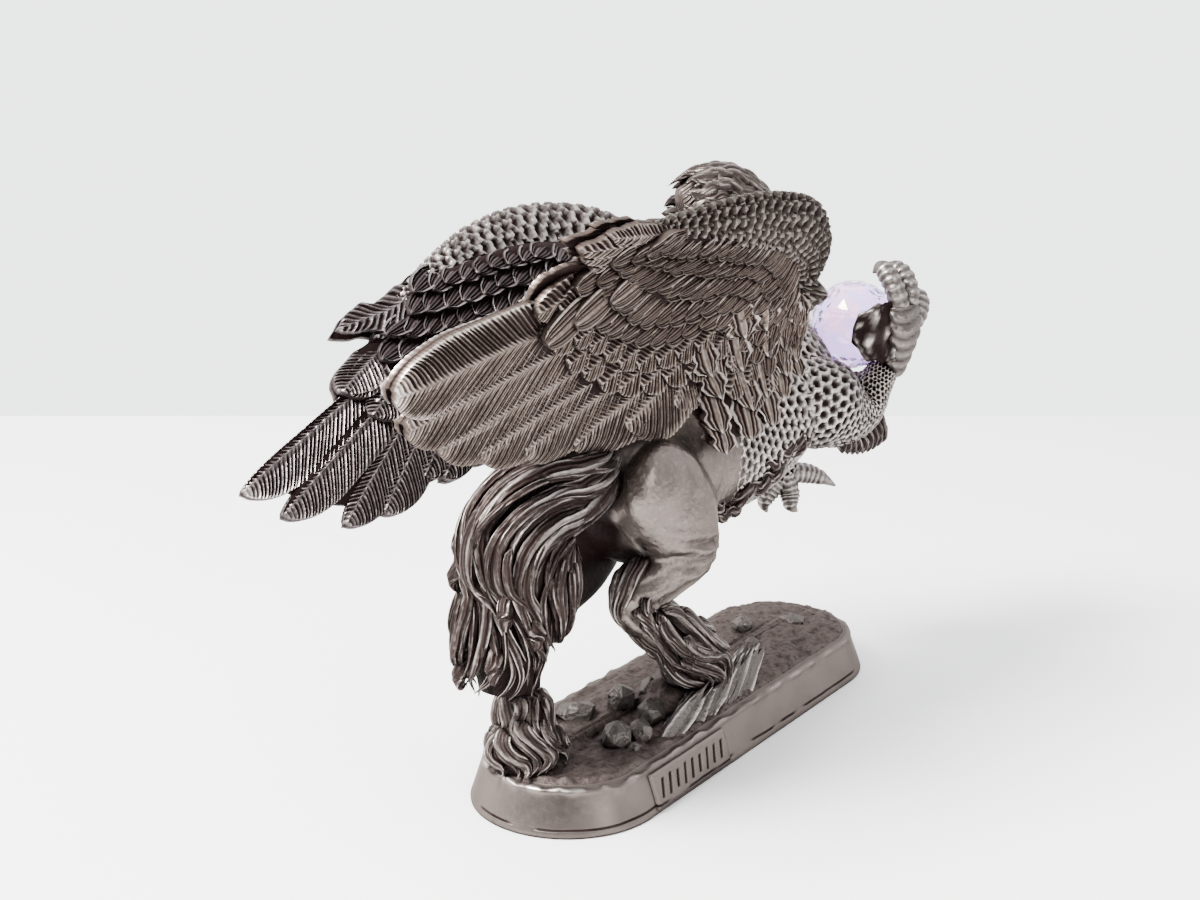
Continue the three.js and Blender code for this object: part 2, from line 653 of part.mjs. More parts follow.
const FEATHERS = 8; // in each row
const COLUMNS = 3; // of the sheet to a feather: a valley and two shoulders
const LIP = 0.22; // how much of the gap to the next row a row's thick end drops over
const NOTCH = 0.24; // how far short of its tip a feather meets its neighbour, as a share of its length
const QUILL_CUTS = [0.5, 0.84, 1];
const VALLEY = 0.8; // thickness where two feathers meet, as a share of that on the shoulders

/**
 * The feathers of one wing as a single sheet that steps down at the end of each row. Feathers show
 * on both faces, and each row is set a third of a feather on from the row above it.
 */
function feathers(frame) {
  const quillRow = frame.lines.length - 2;
  const levels = [{ row: 0, along: 0 }];
  for (let row = 0; row < quillRow; row++) levels.push({ row, along: 1 }, { row: row + 1, along: LIP });
  for (const along of QUILL_CUTS) levels.push({ row: quillRow, along });
  const columns = FEATHERS * COLUMNS;
  const form = new THREE.BoxGeometry(1, 1, 1, columns, 1, levels.length - 1);
  const position = form.getAttribute("position");
  for (let i = 0; i < position.count; i++) {
    const column = Math.round((position.getX(i) + 0.5) * columns);
    const level = Math.round((position.getZ(i) + 0.5) * (levels.length - 1));
    const { row, along } = levels[level];
    const tipLevel = level === levels.length - 1;
    const base = along === LIP;
    // The base of a row keeps the outline of the row that ends above it.
    const valley = (column + (base ? row - 1 : row)) % COLUMNS === 0;
    const notch = NOTCH * (along === 1 || base ? 1 : along / 2) * (row === quillRow && !base ? 0.6 : 1);
    const short = valley ? notch : 0;
    const share = column / columns;
    const from = frame.lines[row].getPoint(share);
    const before = frame.lines[Math.max(row - 1, 0)].getPoint(share);
    const to = frame.lines[row + 1].getPoint(share);
    const at = base ? from.clone().lerp(to, along).lerp(before, short) : from.clone().lerp(to, along - short);
    const layers = 1 + 0.42 * (quillRow - row) + (along === 1 ? 0.25 : 0);
    const half = (QUILL_THICKNESS / 2) * layers * (valley && !base ? VALLEY : 1) * (tipLevel ? 0.7 : 1);
    const point = onWing(frame, at.x, at.y, Math.sign(position.getY(i)) * half * frame.hand);
    position.setXYZ(i, point.x, point.y, point.z);
  }
  return solidOf(form);
}

/** One loose feather that ends at `end` on the sheet. */
function feather(frame, end, { length, width, thickness, angle }) {
  const way = vec(Math.cos(angle), Math.sin(angle), 0);
  const profile = [[0, 0.5], [0.36, 0.85], [0.7, 1], [0.92, 0.78], [1, 0.4]];
  const stations = profile.map(([share, fullness]) => {
    const fromEnd = (1 - share) * length;
    return {
      at: onWing(frame, end.x - way.x * fromEnd, end.y - way.y * fromEnd),
      wide: (width / 2) * fullness * WING_SCALE,
      deep: (thickness / 2) * (0.45 + 0.55 * fullness),
    };
  });
  const across = frame.back.clone().multiplyScalar(-way.y);
  across.addScaledVector(frame.down, way.x).addScaledVector(frame.out, 0.14);
  return drawn(stations, { sides: 4, rings: 4, across, pointed: true });
}

// Along the arm, from the alula's root, round the wrist, to the shoulder: [back, down, half width,
// how far it stands off the sheet towards the beast].
const ARM = [
  [38, 1.6, 1.4, 0],
  [31, 1.3, 2.7, 0],
  [22, 0.6, 3.5, 0],
  [13, 0.6, 3.9, 0],
  [4.2, 2.9, 4.3, 0],
  [0.3, 8, 4.2, 0.4],
  [2, 14.5, 3.8, 1.2],
  [5.6, 20.5, 3.7, 2.4],
  [SHOULDER[0], SHOULDER[1], 3, SHOULDER[2]],
];

/** One wing: sheet of feathers, scaled arm and alula. */
function wing(pose) {
  const frame = wingFrame(pose);
  const arm = ARM.map(([back, down, wide, inward], i) => ({
    at: onWing(frame, back, down, -inward * WING_SCALE),
    wide: wide * WING_SCALE,
    deep: (ARM_THICKNESS / 2) * lerp(0.5, 1.1, i / (ARM.length - 1)),
  }));
  const parts = [
    feathers(frame),
    drawn(arm, { sides: 8, rings: 10, across: frame.down, relief: scales(5, 4, 0.16) }),
  ];
  const alula = { length: 17, width: 4.6, thickness: QUILL_THICKNESS * 1.6, angle: 0.06 };
  parts.push(feather(frame, vec(47.8, 0.8, 0), alula));
  parts.push(feather(frame, vec(44, 2.8, 0), { ...alula, length: 15 }));
  return joined(parts);
}

/** The cut ball, larger all round by `grow`. */
function ball(grow = 0) {
  const form = new THREE.IcosahedronGeometry(BALL_DIAMETER / 2 + grow, 2);
  form.translate(BALL_CENTRE.x, BALL_CENTRE.y, BALL_CENTRE.z);
  return solidOf(form);
}

/** The groin, which fills the corner between the thighs and the belly. */
function groin() {
  const form = new THREE.IcosahedronGeometry(5.2 * FIGURE_SCALE, 1);
  const centre = place(-13, 0, 31.6);
  form.translate(centre.x, centre.y, centre.z);
  return solidOf(form);
}

/** The beast and its plinth, cut clear of the ball. */
function casting() {
  const body = joined([
    plinth(),
    label(),
    stones(),
    rockHeap(),
    ...flank(0),
    groin(),
    hoofHair(RIGHT_HAIR),
    hoofHair(LEFT_HAIR),
    tail(),
    head(),
    rightClaw(),
    leftFoot(),
    breastFringe(),
    elbowTufts(),
  ]);
  return largest(body.subtract(labelStrokes()).subtract(ball(CLEARANCE)));
}

const PEWTER = new THREE.MeshStandardMaterial({ color: 0x8b8681, metalness: 0.9, roughness: 0.42 });
const CRYSTAL = new THREE.MeshStandardMaterial({ color: 0xf1e9f7, metalness: 0, roughness: 0.03 });
CRYSTAL.transparent = true;
CRYSTAL.opacity = 0.4;

const figurine = new THREE.Group();
function add(name, solid, material) {
  const mesh = new THREE.Mesh(geometryOf(solid), material);
  mesh.name = name;
  figurine.add(mesh);
}
add("hippogriff_and_plinth", casting(), PEWTER);
const seat = joined(flank(CLEARANCE));
for (const [name, pose] of Object.entries(WING_POSES)) add(name, largest(wing(pose).subtract(seat)), PEWTER);
add("crystal_ball", ball(), CRYSTAL);

export default figurine;
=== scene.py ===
"""An antiqued pewter figurine of a hippogriff that holds a cut crystal ball.

Sizes are in millimetres. +X is the way the beast faces, +Y its left and +Z up, and the origin is
the centre of the plinth's underside. Meshes are made metres as they are finished.
"""

import logging
import math
from contextlib import contextmanager
from dataclasses import dataclass
from enum import Enum
from typing import Callable, Iterator, Optional, Sequence, Union

import bpy
import numpy as np
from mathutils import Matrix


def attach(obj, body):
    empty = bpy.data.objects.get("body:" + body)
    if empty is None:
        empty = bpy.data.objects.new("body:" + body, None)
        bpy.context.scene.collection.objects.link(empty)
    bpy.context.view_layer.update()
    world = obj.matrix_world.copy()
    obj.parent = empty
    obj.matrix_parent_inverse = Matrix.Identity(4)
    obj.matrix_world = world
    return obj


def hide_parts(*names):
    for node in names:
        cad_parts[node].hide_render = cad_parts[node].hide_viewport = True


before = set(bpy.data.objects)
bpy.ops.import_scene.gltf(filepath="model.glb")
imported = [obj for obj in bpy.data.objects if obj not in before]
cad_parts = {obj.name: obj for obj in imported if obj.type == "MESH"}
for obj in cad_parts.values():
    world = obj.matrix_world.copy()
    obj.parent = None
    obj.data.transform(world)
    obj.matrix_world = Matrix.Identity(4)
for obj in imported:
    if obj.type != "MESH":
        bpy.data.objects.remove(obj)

log = logging.getLogger("hippogriff")
MM = 0.001
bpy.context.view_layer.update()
# The crystal ball, which the claw's parts are set round.
BALL_CENTRE = (33.3, -6, 48.5)
BALL_RADIUS = 6.0

# What a place is multiplied by to lay it flat.
FLAT = (1, 1, 0)

Array = np.ndarray
Stations = Sequence[Sequence[float]]


# Numbers


def smooth(low: float, high: float, value: Array) -> Array:
    """A soft step from 0 at low to 1 at high."""
    share = np.clip((np.asarray(value, float) - low) / (high - low), 0.0, 1.0)
    return share * share * (3 - 2 * share)


def bump(value: Array, width: float) -> Array:
    """A rounded ridge, 1 where value is 0 and fading over width."""
    return np.exp(-((np.asarray(value, float) / width) ** 2))


def unit(vectors: Array) -> Array:
    """The same vectors, each one long."""
    vectors = np.asarray(vectors, float)
    return vectors / np.maximum(np.linalg.norm(vectors, axis=-1, keepdims=True), 1e-9)


def ripple(points: Array, size: float, seed: int) -> Array:
    """Smooth unevenness over a surface, as waves that cross each other.

    Args:
        points: places in mm.
        size: the usual distance between swellings.
        seed: which unevenness.

    Returns:
        About -1 to 1 for each place.
    """
    rng = np.random.default_rng(seed)
    total, waves = np.zeros(len(points)), 7
    for _ in range(waves):
        way = unit(rng.normal(size=3))
        pace = 2 * math.pi / size * rng.uniform(0.6, 1.5)
        total += np.sin(points @ way * pace + rng.uniform(0, 2 * math.pi))
    return total / 4


def spline(points: Array, share: Array) -> Array:
    """Places on a smooth line through points, for shares of its run from 0 to 1.

    Args:
        points: places that the line goes through.
        share: shares of its run, from 0 to 1.

    Returns:
        A place for each share.
    """
    points = np.asarray(points, float)
    share = np.clip(np.asarray(share, float), 0, 1)
    count = len(points)
    run = share * (count - 1)
    index = np.minimum(run.astype(int), count - 2)
    weight = (run - index)[..., None]
    padded = np.vstack([2 * points[0] - points[1], points, 2 * points[-1] - points[-2]])
    p0, p1, p2, p3 = (padded[index + k] for k in range(4))

    def gap(a: Array, b: Array) -> Array:
        """The square root of the distance between places."""
        return np.maximum(np.linalg.norm(a - b, axis=-1, keepdims=True), 1e-6) ** 0.5

    d0, d1, d2 = gap(p0, p1), gap(p1, p2), gap(p2, p3)
    t1 = ((p1 - p0) / d0 - (p2 - p0) / (d0 + d1) + (p2 - p1) / d1) * d1
    t2 = ((p2 - p1) / d1 - (p3 - p1) / (d1 + d2) + (p3 - p2) / d2) * d1
    c2 = -3 * p1 + 3 * p2 - 2 * t1 - t2
    c3 = 2 * p1 - 2 * p2 + t1 + t2
    return p1 + t1 * weight + c2 * weight**2 + c3 * weight**3


def evened(points: Array, count: int) -> Array:
    """A line's places, evenly spaced by length.

    Args:
        points: places that the line goes through.
        count: how many places are wanted.

    Returns:
        Places along the line, both ends among them.
    """
    fine = spline(points, np.linspace(0, 1, 240))
    length = np.concatenate([[0], np.cumsum(np.linalg.norm(np.diff(fine, axis=0), axis=1))])
    wanted = np.linspace(0, length[-1], count)
    return np.stack([np.interp(wanted, length, fine[:, k]) for k in range(fine.shape[1])], axis=1)


def pits(across: Array, along: Array) -> Array:
    """How far each place is from the middle of its cell of a honeycomb, 0 to about 0.57.

    Args:
        across: places across, in cells.
        along: places along, in cells.

    Returns:
        Each place's distance, in cells.
    """
    pitch = 3**0.5 / 2
    nearest = np.full(np.shape(across), 9.0)
    row = np.round(along / pitch)
    for step in (-1, 0, 1):
        this = row + step
        shift = 0.5 * (this % 2)
        centre = np.round(across - shift) + shift
        nearest = np.minimum(nearest, np.hypot(across - centre, along - this * pitch))
    return nearest


def scales(across: Array, along: Array) -> Array:
    """Overlapping scales, each one wide and one long, that point to greater along.

    Args:
        across: places across, in scales.
        along: places along, in scales.

    Returns:
        How far each place is from the middle of its scale, 0 to about 1 at the rim.
    """
    row = np.floor(along)
    reach = np.full(np.shape(across), 1.0)
    for step in (1, 0, -1):
        this = row + step
        shift = 0.5 * (this % 2)
        aside = across - shift - np.round(across - shift)
        down = along - this
        gap = np.hypot(aside / 0.54, np.where(down > 0, down / 1.5, down / 0.7))
        reach = np.where(gap < 1, gap, reach)
    return reach


# Blanks and castings


def deselect() -> None:
    """Clears the selection, because an operator acts on all that is selected."""
    bpy.ops.object.select_all(action="DESELECT")


def placed(name: str, data: bpy.types.ID) -> bpy.types.Object:
    """A new object in the scene."""
    obj = bpy.data.objects.new(name, data)
    bpy.context.scene.collection.objects.link(obj)
    return obj


@contextmanager
def editing() -> Iterator[None]:
    """Opens the active mesh with all of it selected, and closes it again."""
    bpy.ops.object.mode_set(mode="EDIT")
    bpy.ops.mesh.select_all(action="SELECT")
    yield
    bpy.ops.object.mode_set(mode="OBJECT")


@dataclass
class Blank:
    """A closed shape that is modelled once, whose copies are then laid over the figure."""

    points: Array
    corners: Array
    starts: Array
    triangles: Array
    rows: int = 0
    columns: int = 0

    @classmethod
    def taken(cls, obj: bpy.types.Object) -> "Blank":
        """The blank that a modelled object leaves, which is then deleted.

        Args:
            obj: a modelled object.

        Returns:
            The blank.
        """
        mesh = obj.data
        points = np.zeros(len(mesh.vertices) * 3)
        mesh.vertices.foreach_get("co", points)
        corners = np.zeros(len(mesh.loops), np.int64)
        mesh.loops.foreach_get("vertex_index", corners)
        starts = np.zeros(len(mesh.polygons), np.int64)
        mesh.polygons.foreach_get("loop_start", starts)
        mesh.calc_loop_triangles()
        triangles = np.zeros(len(mesh.loop_triangles) * 3, np.int64)
        mesh.loop_triangles.foreach_get("vertices", triangles)
        bpy.data.objects.remove(obj, do_unlink=True)
        return cls(points.reshape(-1, 3), corners, starts, triangles.reshape(-1, 3))

    @classmethod
    def round(cls, sides: int, rings: int) -> "Blank":
        """A ball of sides and rings, to be drawn out into a limb, a lock or a toe."""
        deselect()
        bpy.ops.mesh.primitive_uv_sphere_add(segments=sides, ring_count=rings, radius=1)
        return cls.taken(bpy.context.object)

    @classmethod
    def leaf(cls, across: int, along: int, plain_under: bool = True) -> "Blank":
        """A flat leaf to be laid as a feather, x and y from -1 to 1, with its underside at z -1.

        Args:
            across: faces across.
            along: faces along.
            plain_under: whether its underside is a single face.

        Returns:
            The blank.
        """
        deselect()
        bpy.ops.mesh.primitive_grid_add(x_subdivisions=across, y_subdivisions=along, size=2)
        with editing():
            bpy.ops.mesh.extrude_region_move(TRANSFORM_OT_translate={"value": (0, 0, -1)})
            if plain_under:
                bpy.ops.mesh.dissolve_faces()
            bpy.ops.mesh.select_all(action="SELECT")
            bpy.ops.mesh.normals_make_consistent(inside=False)
        blank = cls.taken(bpy.context.object)
        blank.rows = along
        blank.columns = across
        return blank

    def faces(self) -> list[Array]:
        """The corners of each face."""
        return np.split(self.corners, self.starts[1:])

    @property
    def along(self) -> Array:
        """Each point's share of the way from the ball's top to its foot."""
        return np.arccos(np.clip(self.points[:, 2], -1, 1)) / math.pi

    @property
    def around(self) -> Array:
        """Each point's angle round the ball's axis."""
        return np.arctan2(self.points[:, 0], self.points[:, 1])


@dataclass
class Laid:
    """A copy of a blank in its place, with what its finish reads at each point.

    hollow is 0 on a plain place, 1 or more in a deep one and below 0 where an edge is rubbed bright.
    In some places it is painted shade instead: the black cores and web under locks and feathers,
    feather roots and undersides, the inner haunch and the shell round the ball. On the plinth's
    rear rim and the first quill's rim it is a painted highlight.
    lay is the way the carving runs: mm across, mm along, and a number of its own for each feather or
    lock. finishes gives a finish to each face, where one copy has several.
    """

    blank: Blank
    points: Array
    hollow: Array
    lay: Array
    finish: int = 0
    flat: bool = False
    finishes: Optional[Array] = None


def bare(
    blank: Blank, points: Array, finish: int = 0, hollow: Union[Array, float] = 0.0, flat: bool = False
) -> Laid:
    """A copy whose carving runs no particular way."""
    count = len(points)
    return Laid(blank, points, np.zeros(count) + hollow, np.zeros((count, 3)), finish, flat)


@dataclass
class Casting:
    """One casting, gathered from laid copies and poured as one mesh."""

    name: str
    node: str
    parts: list[Laid]
    slot: str = "pewter"

    def pour(self, materials: Sequence[bpy.types.Material]) -> bpy.types.Object:
        """Makes the mesh, hangs it under the root and hides the imported part of its node.

        Args:
            materials: the finishes, in the order of each part's finish number.

        Returns:
            The finished piece.
        """
        points, corners, starts, hollow, lay, finish, rounded = [], [], [], [], [], [], []
        base = corner_base = 0
        for part in self.parts:
            tri = part.points[part.blank.triangles]
            volume = np.einsum("ij,ij->i", tri[:, 0], np.cross(tri[:, 1], tri[:, 2])).sum()
            loop = part.blank.corners
            if volume < 0:
                loop = np.concatenate([face[::-1] for face in part.blank.faces()])
            points.append(part.points)
            corners.append(loop + base)
            starts.append(part.blank.starts + corner_base)
            hollow.append(part.hollow)
            lay.append(part.lay)
            every = np.full(len(part.blank.starts), part.finish)
            finish.append(every if part.finishes is None else part.finishes)
            rounded.append(np.full(len(part.blank.starts), not part.flat))
            base += len(part.points)
            corner_base += len(loop)
        mesh = bpy.data.meshes.new(self.name)
        mesh.vertices.add(base)
        mesh.loops.add(corner_base)
        mesh.polygons.add(sum(len(s) for s in starts))
        mesh.vertices.foreach_set("co", (np.concatenate(points) * MM).astype(np.float32).ravel())
        mesh.loops.foreach_set("vertex_index", np.concatenate(corners).astype(np.int32))
        mesh.polygons.foreach_set("loop_start", np.concatenate(starts).astype(np.int32))
        for material in materials:
            mesh.materials.append(material)
        mesh.polygons.foreach_set("material_index", np.concatenate(finish).astype(np.int32))
        mesh.polygons.foreach_set("use_smooth", np.concatenate(rounded))
        mesh.update(calc_edges=True)
        mesh.attributes.new("hollow", "FLOAT", "POINT").data.foreach_set(
            "value", np.concatenate(hollow).astype(np.float32)
        )
        mesh.attributes.new("lay", "FLOAT_VECTOR", "POINT").data.foreach_set(
            "vector", np.concatenate(lay).astype(np.float32).ravel()
        )
        piece = placed(self.name, mesh)
        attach(piece, "root")
        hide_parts(self.node)
        mesh.calc_loop_triangles()
        log.info("%s: %d triangles", self.name, len(mesh.loop_triangles))
        return piece


Relief = Callable[[Array, Array], tuple[Array, Array]]


def swept(
    blank: Blank,
    stations: Stations,
    across: Sequence[float] = (0, 1, 0),
    relief: Optional[Relief] = None,
    finish: int = 0,
) -> Laid:
    """Draws a round blank out along stations.

    Args:
        blank: a round blank.
        stations: rows of x, y, z, half width and half depth.
        across: the way the width is measured.
        relief: takes shares along and angles round, and gives how far out the skin stands in mm
            and how hollow it is.
        finish: which finish the copy gets.

    Returns:
        The copy in its place.
    """
    rows = np.asarray(stations, float)
    along, around = blank.along, blank.around
    centre = spline(rows[:, :3], along)
    step = 0.004
    tangent = unit(spline(rows[:, :3], along + step) - spline(rows[:, :3], along - step))
    way = np.asarray(across, float)
    side = unit(way - tangent * (tangent @ way)[:, None])
    normal = np.cross(tangent, side)
    size = spline(rows[:, 3:5], along)
    ends = np.sin(np.pi * np.clip(along, 0, 1)) > 1e-6
    out, hollow = relief(along, around) if relief else (np.zeros(len(along)), np.zeros(len(along)))
    width = (size[:, 0] + out) * ends
    depth = (size[:, 1] + out) * ends
    points = centre + side * (np.sin(around) * width)[:, None] + normal * (np.cos(around) * depth)[:, None]
    fine = spline(rows[:, :3], np.linspace(0, 1, 60))
    length = np.linalg.norm(np.diff(fine, axis=0), axis=1).sum()
    lay = np.stack([around * size.mean(axis=1), along * length, np.zeros(len(along))], axis=1)
    return Laid(blank, points, hollow, lay, finish)


def lock(
    blank: Blank,
    points: Array,
    radius: float,
    flatness: float,
    seed: int,
    across: Sequence[float] = (0, 1, 0),
    finish: int = 0,
) -> Laid:
    """One lock of hair, or a ragged feather, that is full in its first half and ends in a point.

    Args:
        blank: a round blank.
        points: places along the lock's middle.
        radius: half its width where it is full.
        flatness: its depth as a share of its width.
        seed: where its own grooves start.
        across: the way its width is measured.
        finish: which finish it gets.

    Returns:
        The lock in its place.
    """
    points = np.asarray(points, float)
    share = np.linspace(0, 1, len(points))
    full = np.clip(1 - share**2.2, 0.06, 1) * smooth(-0.25, 0.12, share)
    rows = np.column_stack([points, radius * full, radius * flatness * full])

    def strands(along: Array, around: Array) -> tuple[Array, Array]:
        """Grooves along the lock, which are black at their bottom."""
        wave = np.cos(4 * around + 2.0 * np.sin(along * 5 + seed))
        return radius * 0.17 * wave * (1 - along), np.where(wave < 0, -0.9 * wave, -0.6 * wave)

    laid = swept(blank, rows, across, strands, finish=finish)
    laid.lay[:, 2] = (seed * 0.618) % 1
    return laid


# Finishes


class Carving(Enum):
    """The way a surface of the figurine was worked in the mould."""

    SKIN = "skin"
    STRANDS = "strands"
    WALL = "wall"
    GROUND = "ground"


class Reading:
    """A number that a shader socket carries, with the sums that finishes are written in."""

    def __init__(self, bench: "Bench", socket: bpy.types.NodeSocket) -> None:
        """Wraps a socket of a node on the bench."""
        self.bench = bench
        self.socket = socket

    def _with(self, operation: str, *others: "Reading | float") -> "Reading":
        """One sum with this reading first."""
        return self.bench.sum(operation, self, *others)

    def __add__(self, other: "Reading | float") -> "Reading":
        """Adds."""
        return self._with("ADD", other)

    __radd__ = __add__

    def __sub__(self, other: "Reading | float") -> "Reading":
        """Takes away."""
        return self._with("SUBTRACT", other)

    def __rsub__(self, other: float) -> "Reading":
        """Takes this from a number."""
        return self.bench.sum("SUBTRACT", other, self)

    def __mul__(self, other: "Reading | float") -> "Reading":
        """Multiplies."""
        return self._with("MULTIPLY", other)

    __rmul__ = __mul__

    def size(self) -> "Reading":
        """Without its sign."""
        return self._with("ABSOLUTE")

    def wave(self) -> "Reading":
        """A wave from 0 to 1 for each whole turn."""
        return self.bench.sum("COSINE", self * (2 * math.pi)) * 0.5 + 0.5

    def held(self) -> "Reading":
        """Held between 0 and 1."""
        return self.bench.node("ShaderNodeClamp", inputs={"Value": self})

    def step(self, low: float, high: float) -> "Reading":
        """A soft step from 0 at low to 1 at high.

        Args:
            low: where the step starts.
            high: where it ends.

        Returns:
            The step.
        """
        return self.bench.node(
            "ShaderNodeMapRange",
            {"interpolation_type": "SMOOTHSTEP"},
            {"Value": self, "From Min": low, "From Max": high},
        )


class Bench:
    """Where one material's nodes are laid out."""

    def __init__(
        self, name: str, tree: Optional[bpy.types.NodeTree] = None, shader: Optional[bpy.types.Node] = None
    ) -> None:
        """Starts a material with only its shader and output, or works on a tree that is given.

        Args:
            name: the material's name.
            tree: a tree to work on instead of a new material's.
            shader: the shader in that tree.
        """
        if tree is None:
            self.material = bpy.data.materials.new(name)
            self.material.use_nodes = True
            tree = self.material.node_tree
            shader = tree.nodes["Principled BSDF"]
        self.tree = tree
        self.shader = shader

    def node(
        self,
        kind: str,
        settings: Optional[dict[str, object]] = None,
        inputs: Optional[dict[str, object]] = None,
        output: int = 0,
    ) -> Reading:
        """Lays one node.

        Args:
            kind: the node's type.
            settings: properties, set first.
            inputs: values or readings for its sockets, by name or place.
            output: which output to read.

        Returns:
            The reading of that output.
        """
        node = self.tree.nodes.new(kind)
        for key, value in (settings or {}).items():
            setattr(node, key, value)
        for key, value in (inputs or {}).items():
            self.feed(node.inputs[key], value)
        return Reading(self, node.outputs[output])

    def feed(self, socket: bpy.types.NodeSocket, value: object) -> None:
        """Links a reading to a socket, or sets a plain value on it.

        Args:
            socket: an input of a node.
            value: a reading or a plain value.
        """
        if isinstance(value, Reading):
            self.tree.links.new(value.socket, socket)
        else:
            socket.default_value = value

    def sum(self, operation: str, *terms: "Reading | float") -> Reading:
        """One Math node."""
        return self.node("ShaderNodeMath", {"operation": operation}, dict(enumerate(terms)))

    def place(self) -> Reading:
        """Places on the piece, in metres."""
        return self.node("ShaderNodeTexCoord", output=3)

    def noise(self, where: Reading, per_mm: float, detail: float = 2.0) -> Reading:
        """Unevenness from 0 to 1, with about per_mm swellings to a millimetre."""
        return self.node(
            "ShaderNodeTexNoise", inputs={"Vector": where, "Scale": per_mm / MM, "Detail": detail}
        )

    def open_air(self, reach: float) -> Reading:
        """How much open air a place has within reach mm, from 0 to 1."""
        return self.node("ShaderNodeAmbientOcclusion", {"samples": 6}, {"Distance": reach * MM}, output=1)

    def mixed(self, share: Reading, low: "Reading | tuple", high: "Reading | tuple") -> Reading:
        """A colour between two colours.

        Args:
            share: how much of the second colour.
            low: the first colour.
            high: the second colour.

        Returns:
            The mixed colour.
        """
        node = self.tree.nodes.new("ShaderNodeMix")
        node.data_type = "RGBA"
        self.feed(node.inputs[0], share)
        for place, colour in ((6, low), (7, high)):
            self.feed(node.inputs[place], colour if isinstance(colour, Reading) else (*colour, 1))
        return Reading(self, node.outputs[2])


@dataclass(frozen=True)
class Pewter:
    """Antiqued pewter: worn metal on the high places, blackening left in the hollows, and painted shade under
    the wings and between parts.

    Attributes:
        name: the material's name.
        carving: how the surface was worked.
        worn: the metal's colour where it is plain.
        rough: its roughness.
        reach: how near, in mm, something has to be to keep the blackening in.
        depth: how deep the finish's own carving is, in mm.
        pitch: the width of a strand, in mm.
        grime_and_shade: how much blackening is left, patina and painted shade alike.
        specks: how much fine brightness is scattered over it.
        bright: its colour on rubbed edges, and on the few painted highlights.
        black: the colour of the blackening, both patina and painted shade.
        wide_reach: how many times as far the broad part reaches, which is painted shade under wings and
            between parts.
        mirror: how much its blackening reflects when it is looked at straight.
        mirror_tint: the colour of that reflection.
    """

    name: str
    carving: Carving
    worn: tuple[float, float, float]
    rough: float = 0.36
    reach: float = 1.6
    depth: float = 0.1
    pitch: float = 0.5
    grime_and_shade: float = 1.0
    specks: float = 0.6
    bright: tuple[float, float, float] = (0.63, 0.57, 0.535)
    black: tuple[float, float, float] = (0.008, 0.0042, 0.004)
    wide_reach: float = 4.0
    mirror: float = 0.06
    mirror_tint: tuple[float, float, float, float] = (0.5, 0.48, 0.47, 1)

    def made(self) -> bpy.types.Material:
        """The material.

        Returns:
            A material that reads the piece's own places and its hollow and lay attributes.
        """
        bench = Bench(self.name)
        where = bench.place()
        depth = bench.node("ShaderNodeAttribute", {"attribute_name": "hollow"}, output=2)
        lay = bench.node("ShaderNodeAttribute", {"attribute_name": "lay"}, output=1)
        near = bench.open_air(self.reach)
        far = bench.open_air(self.reach * self.wide_reach)
        broad = bench.noise(where, 0.22, 3.0)
        fine = bench.noise(where, 1.6, 4.0)
        height, groove = self.carved(bench, where, lay, fine)
        # The near occlusion keeps patina in the hollows; the far one paints shade under the wings and between
        # parts.
        patina_and_shade = (1 - near.step(0.2, 0.9)) * 0.9 + (1 - far.step(0.0, 0.85)) * 0.35 + (broad - 0.5) * 0.5
        shade = ((patina_and_shade + depth.held() + groove) * self.grime_and_shade).held()
        edge = ((0 - depth).held() + (fine - 0.55) * self.specks).held()
        tone = bench.mixed(shade, bench.mixed(edge, self.worn, self.bright), self.black)
        bench.feed(bench.shader.inputs["Base Color"], tone)
        bench.feed(bench.shader.inputs["Metallic"], (1 - shade * 0.97).held())
        bench.shader.inputs["Specular IOR Level"].default_value = self.mirror
        bench.shader.inputs["Specular Tint"].default_value = self.mirror_tint
        bench.feed(bench.shader.inputs["Roughness"], (shade * 0.25 + (fine - 0.5) * 0.16 + self.rough).held())
        relief = bench.node(
            "ShaderNodeBump", inputs={"Strength": 1.0, "Distance": self.depth * MM, "Height": height}
        )
        bench.feed(bench.shader.inputs["Normal"], relief)
        return bench.material

    def carved(self, bench: Bench, where: Reading, lay: Reading, fine: Reading) -> tuple[Reading, Reading]:
        """The carving's height from 0 to 1, and how much blackening its grooves hold.

        Args:
            bench: where the material's nodes are laid out.
            where: places on the piece.
            lay: the way the carving runs.
            fine: fine unevenness.

        Returns:
            The height and the blackening.
        """
        split = bench.tree.nodes.new("ShaderNodeSeparateXYZ")
        bench.feed(split.inputs[0], lay)
        across, own = (Reading(bench, split.outputs[k]) for k in (0, 2))
        if self.carving is Carving.STRANDS:
            drift = bench.noise(where, 0.35, 1.0)
            strand = (across * (1 / self.pitch) + drift * 1.5 + own * 5).wave()
            return strand + fine * 0.3, (1 - strand).step(0.4, 0.95) * 0.42
        if self.carving is Carving.GROUND:
            pit = bench.noise(where, 1.1, 6.0)
            return pit, (0.5 - pit).step(0.0, 0.12) * 0.5 + 0.3
        if self.carving is Carving.WALL:
            height = Reading(bench, bench.tree.nodes.new("ShaderNodeSeparateXYZ").outputs[2])
            bench.feed(height.socket.node.inputs[0], where)
            wander = bench.noise(where, 0.12, 2.0)
            seam = (height * (1 / MM) - 1.05 + (wander - 0.5) * 0.5).size()
            line = (1 - seam.step(0.09, 0.2)) * bench.noise(where, 0.16, 0.0).step(0.38, 0.48)
            return fine * 0.2 - line, line * 1.1
        return fine, fine.step(0.55, 0.8) * 0.1


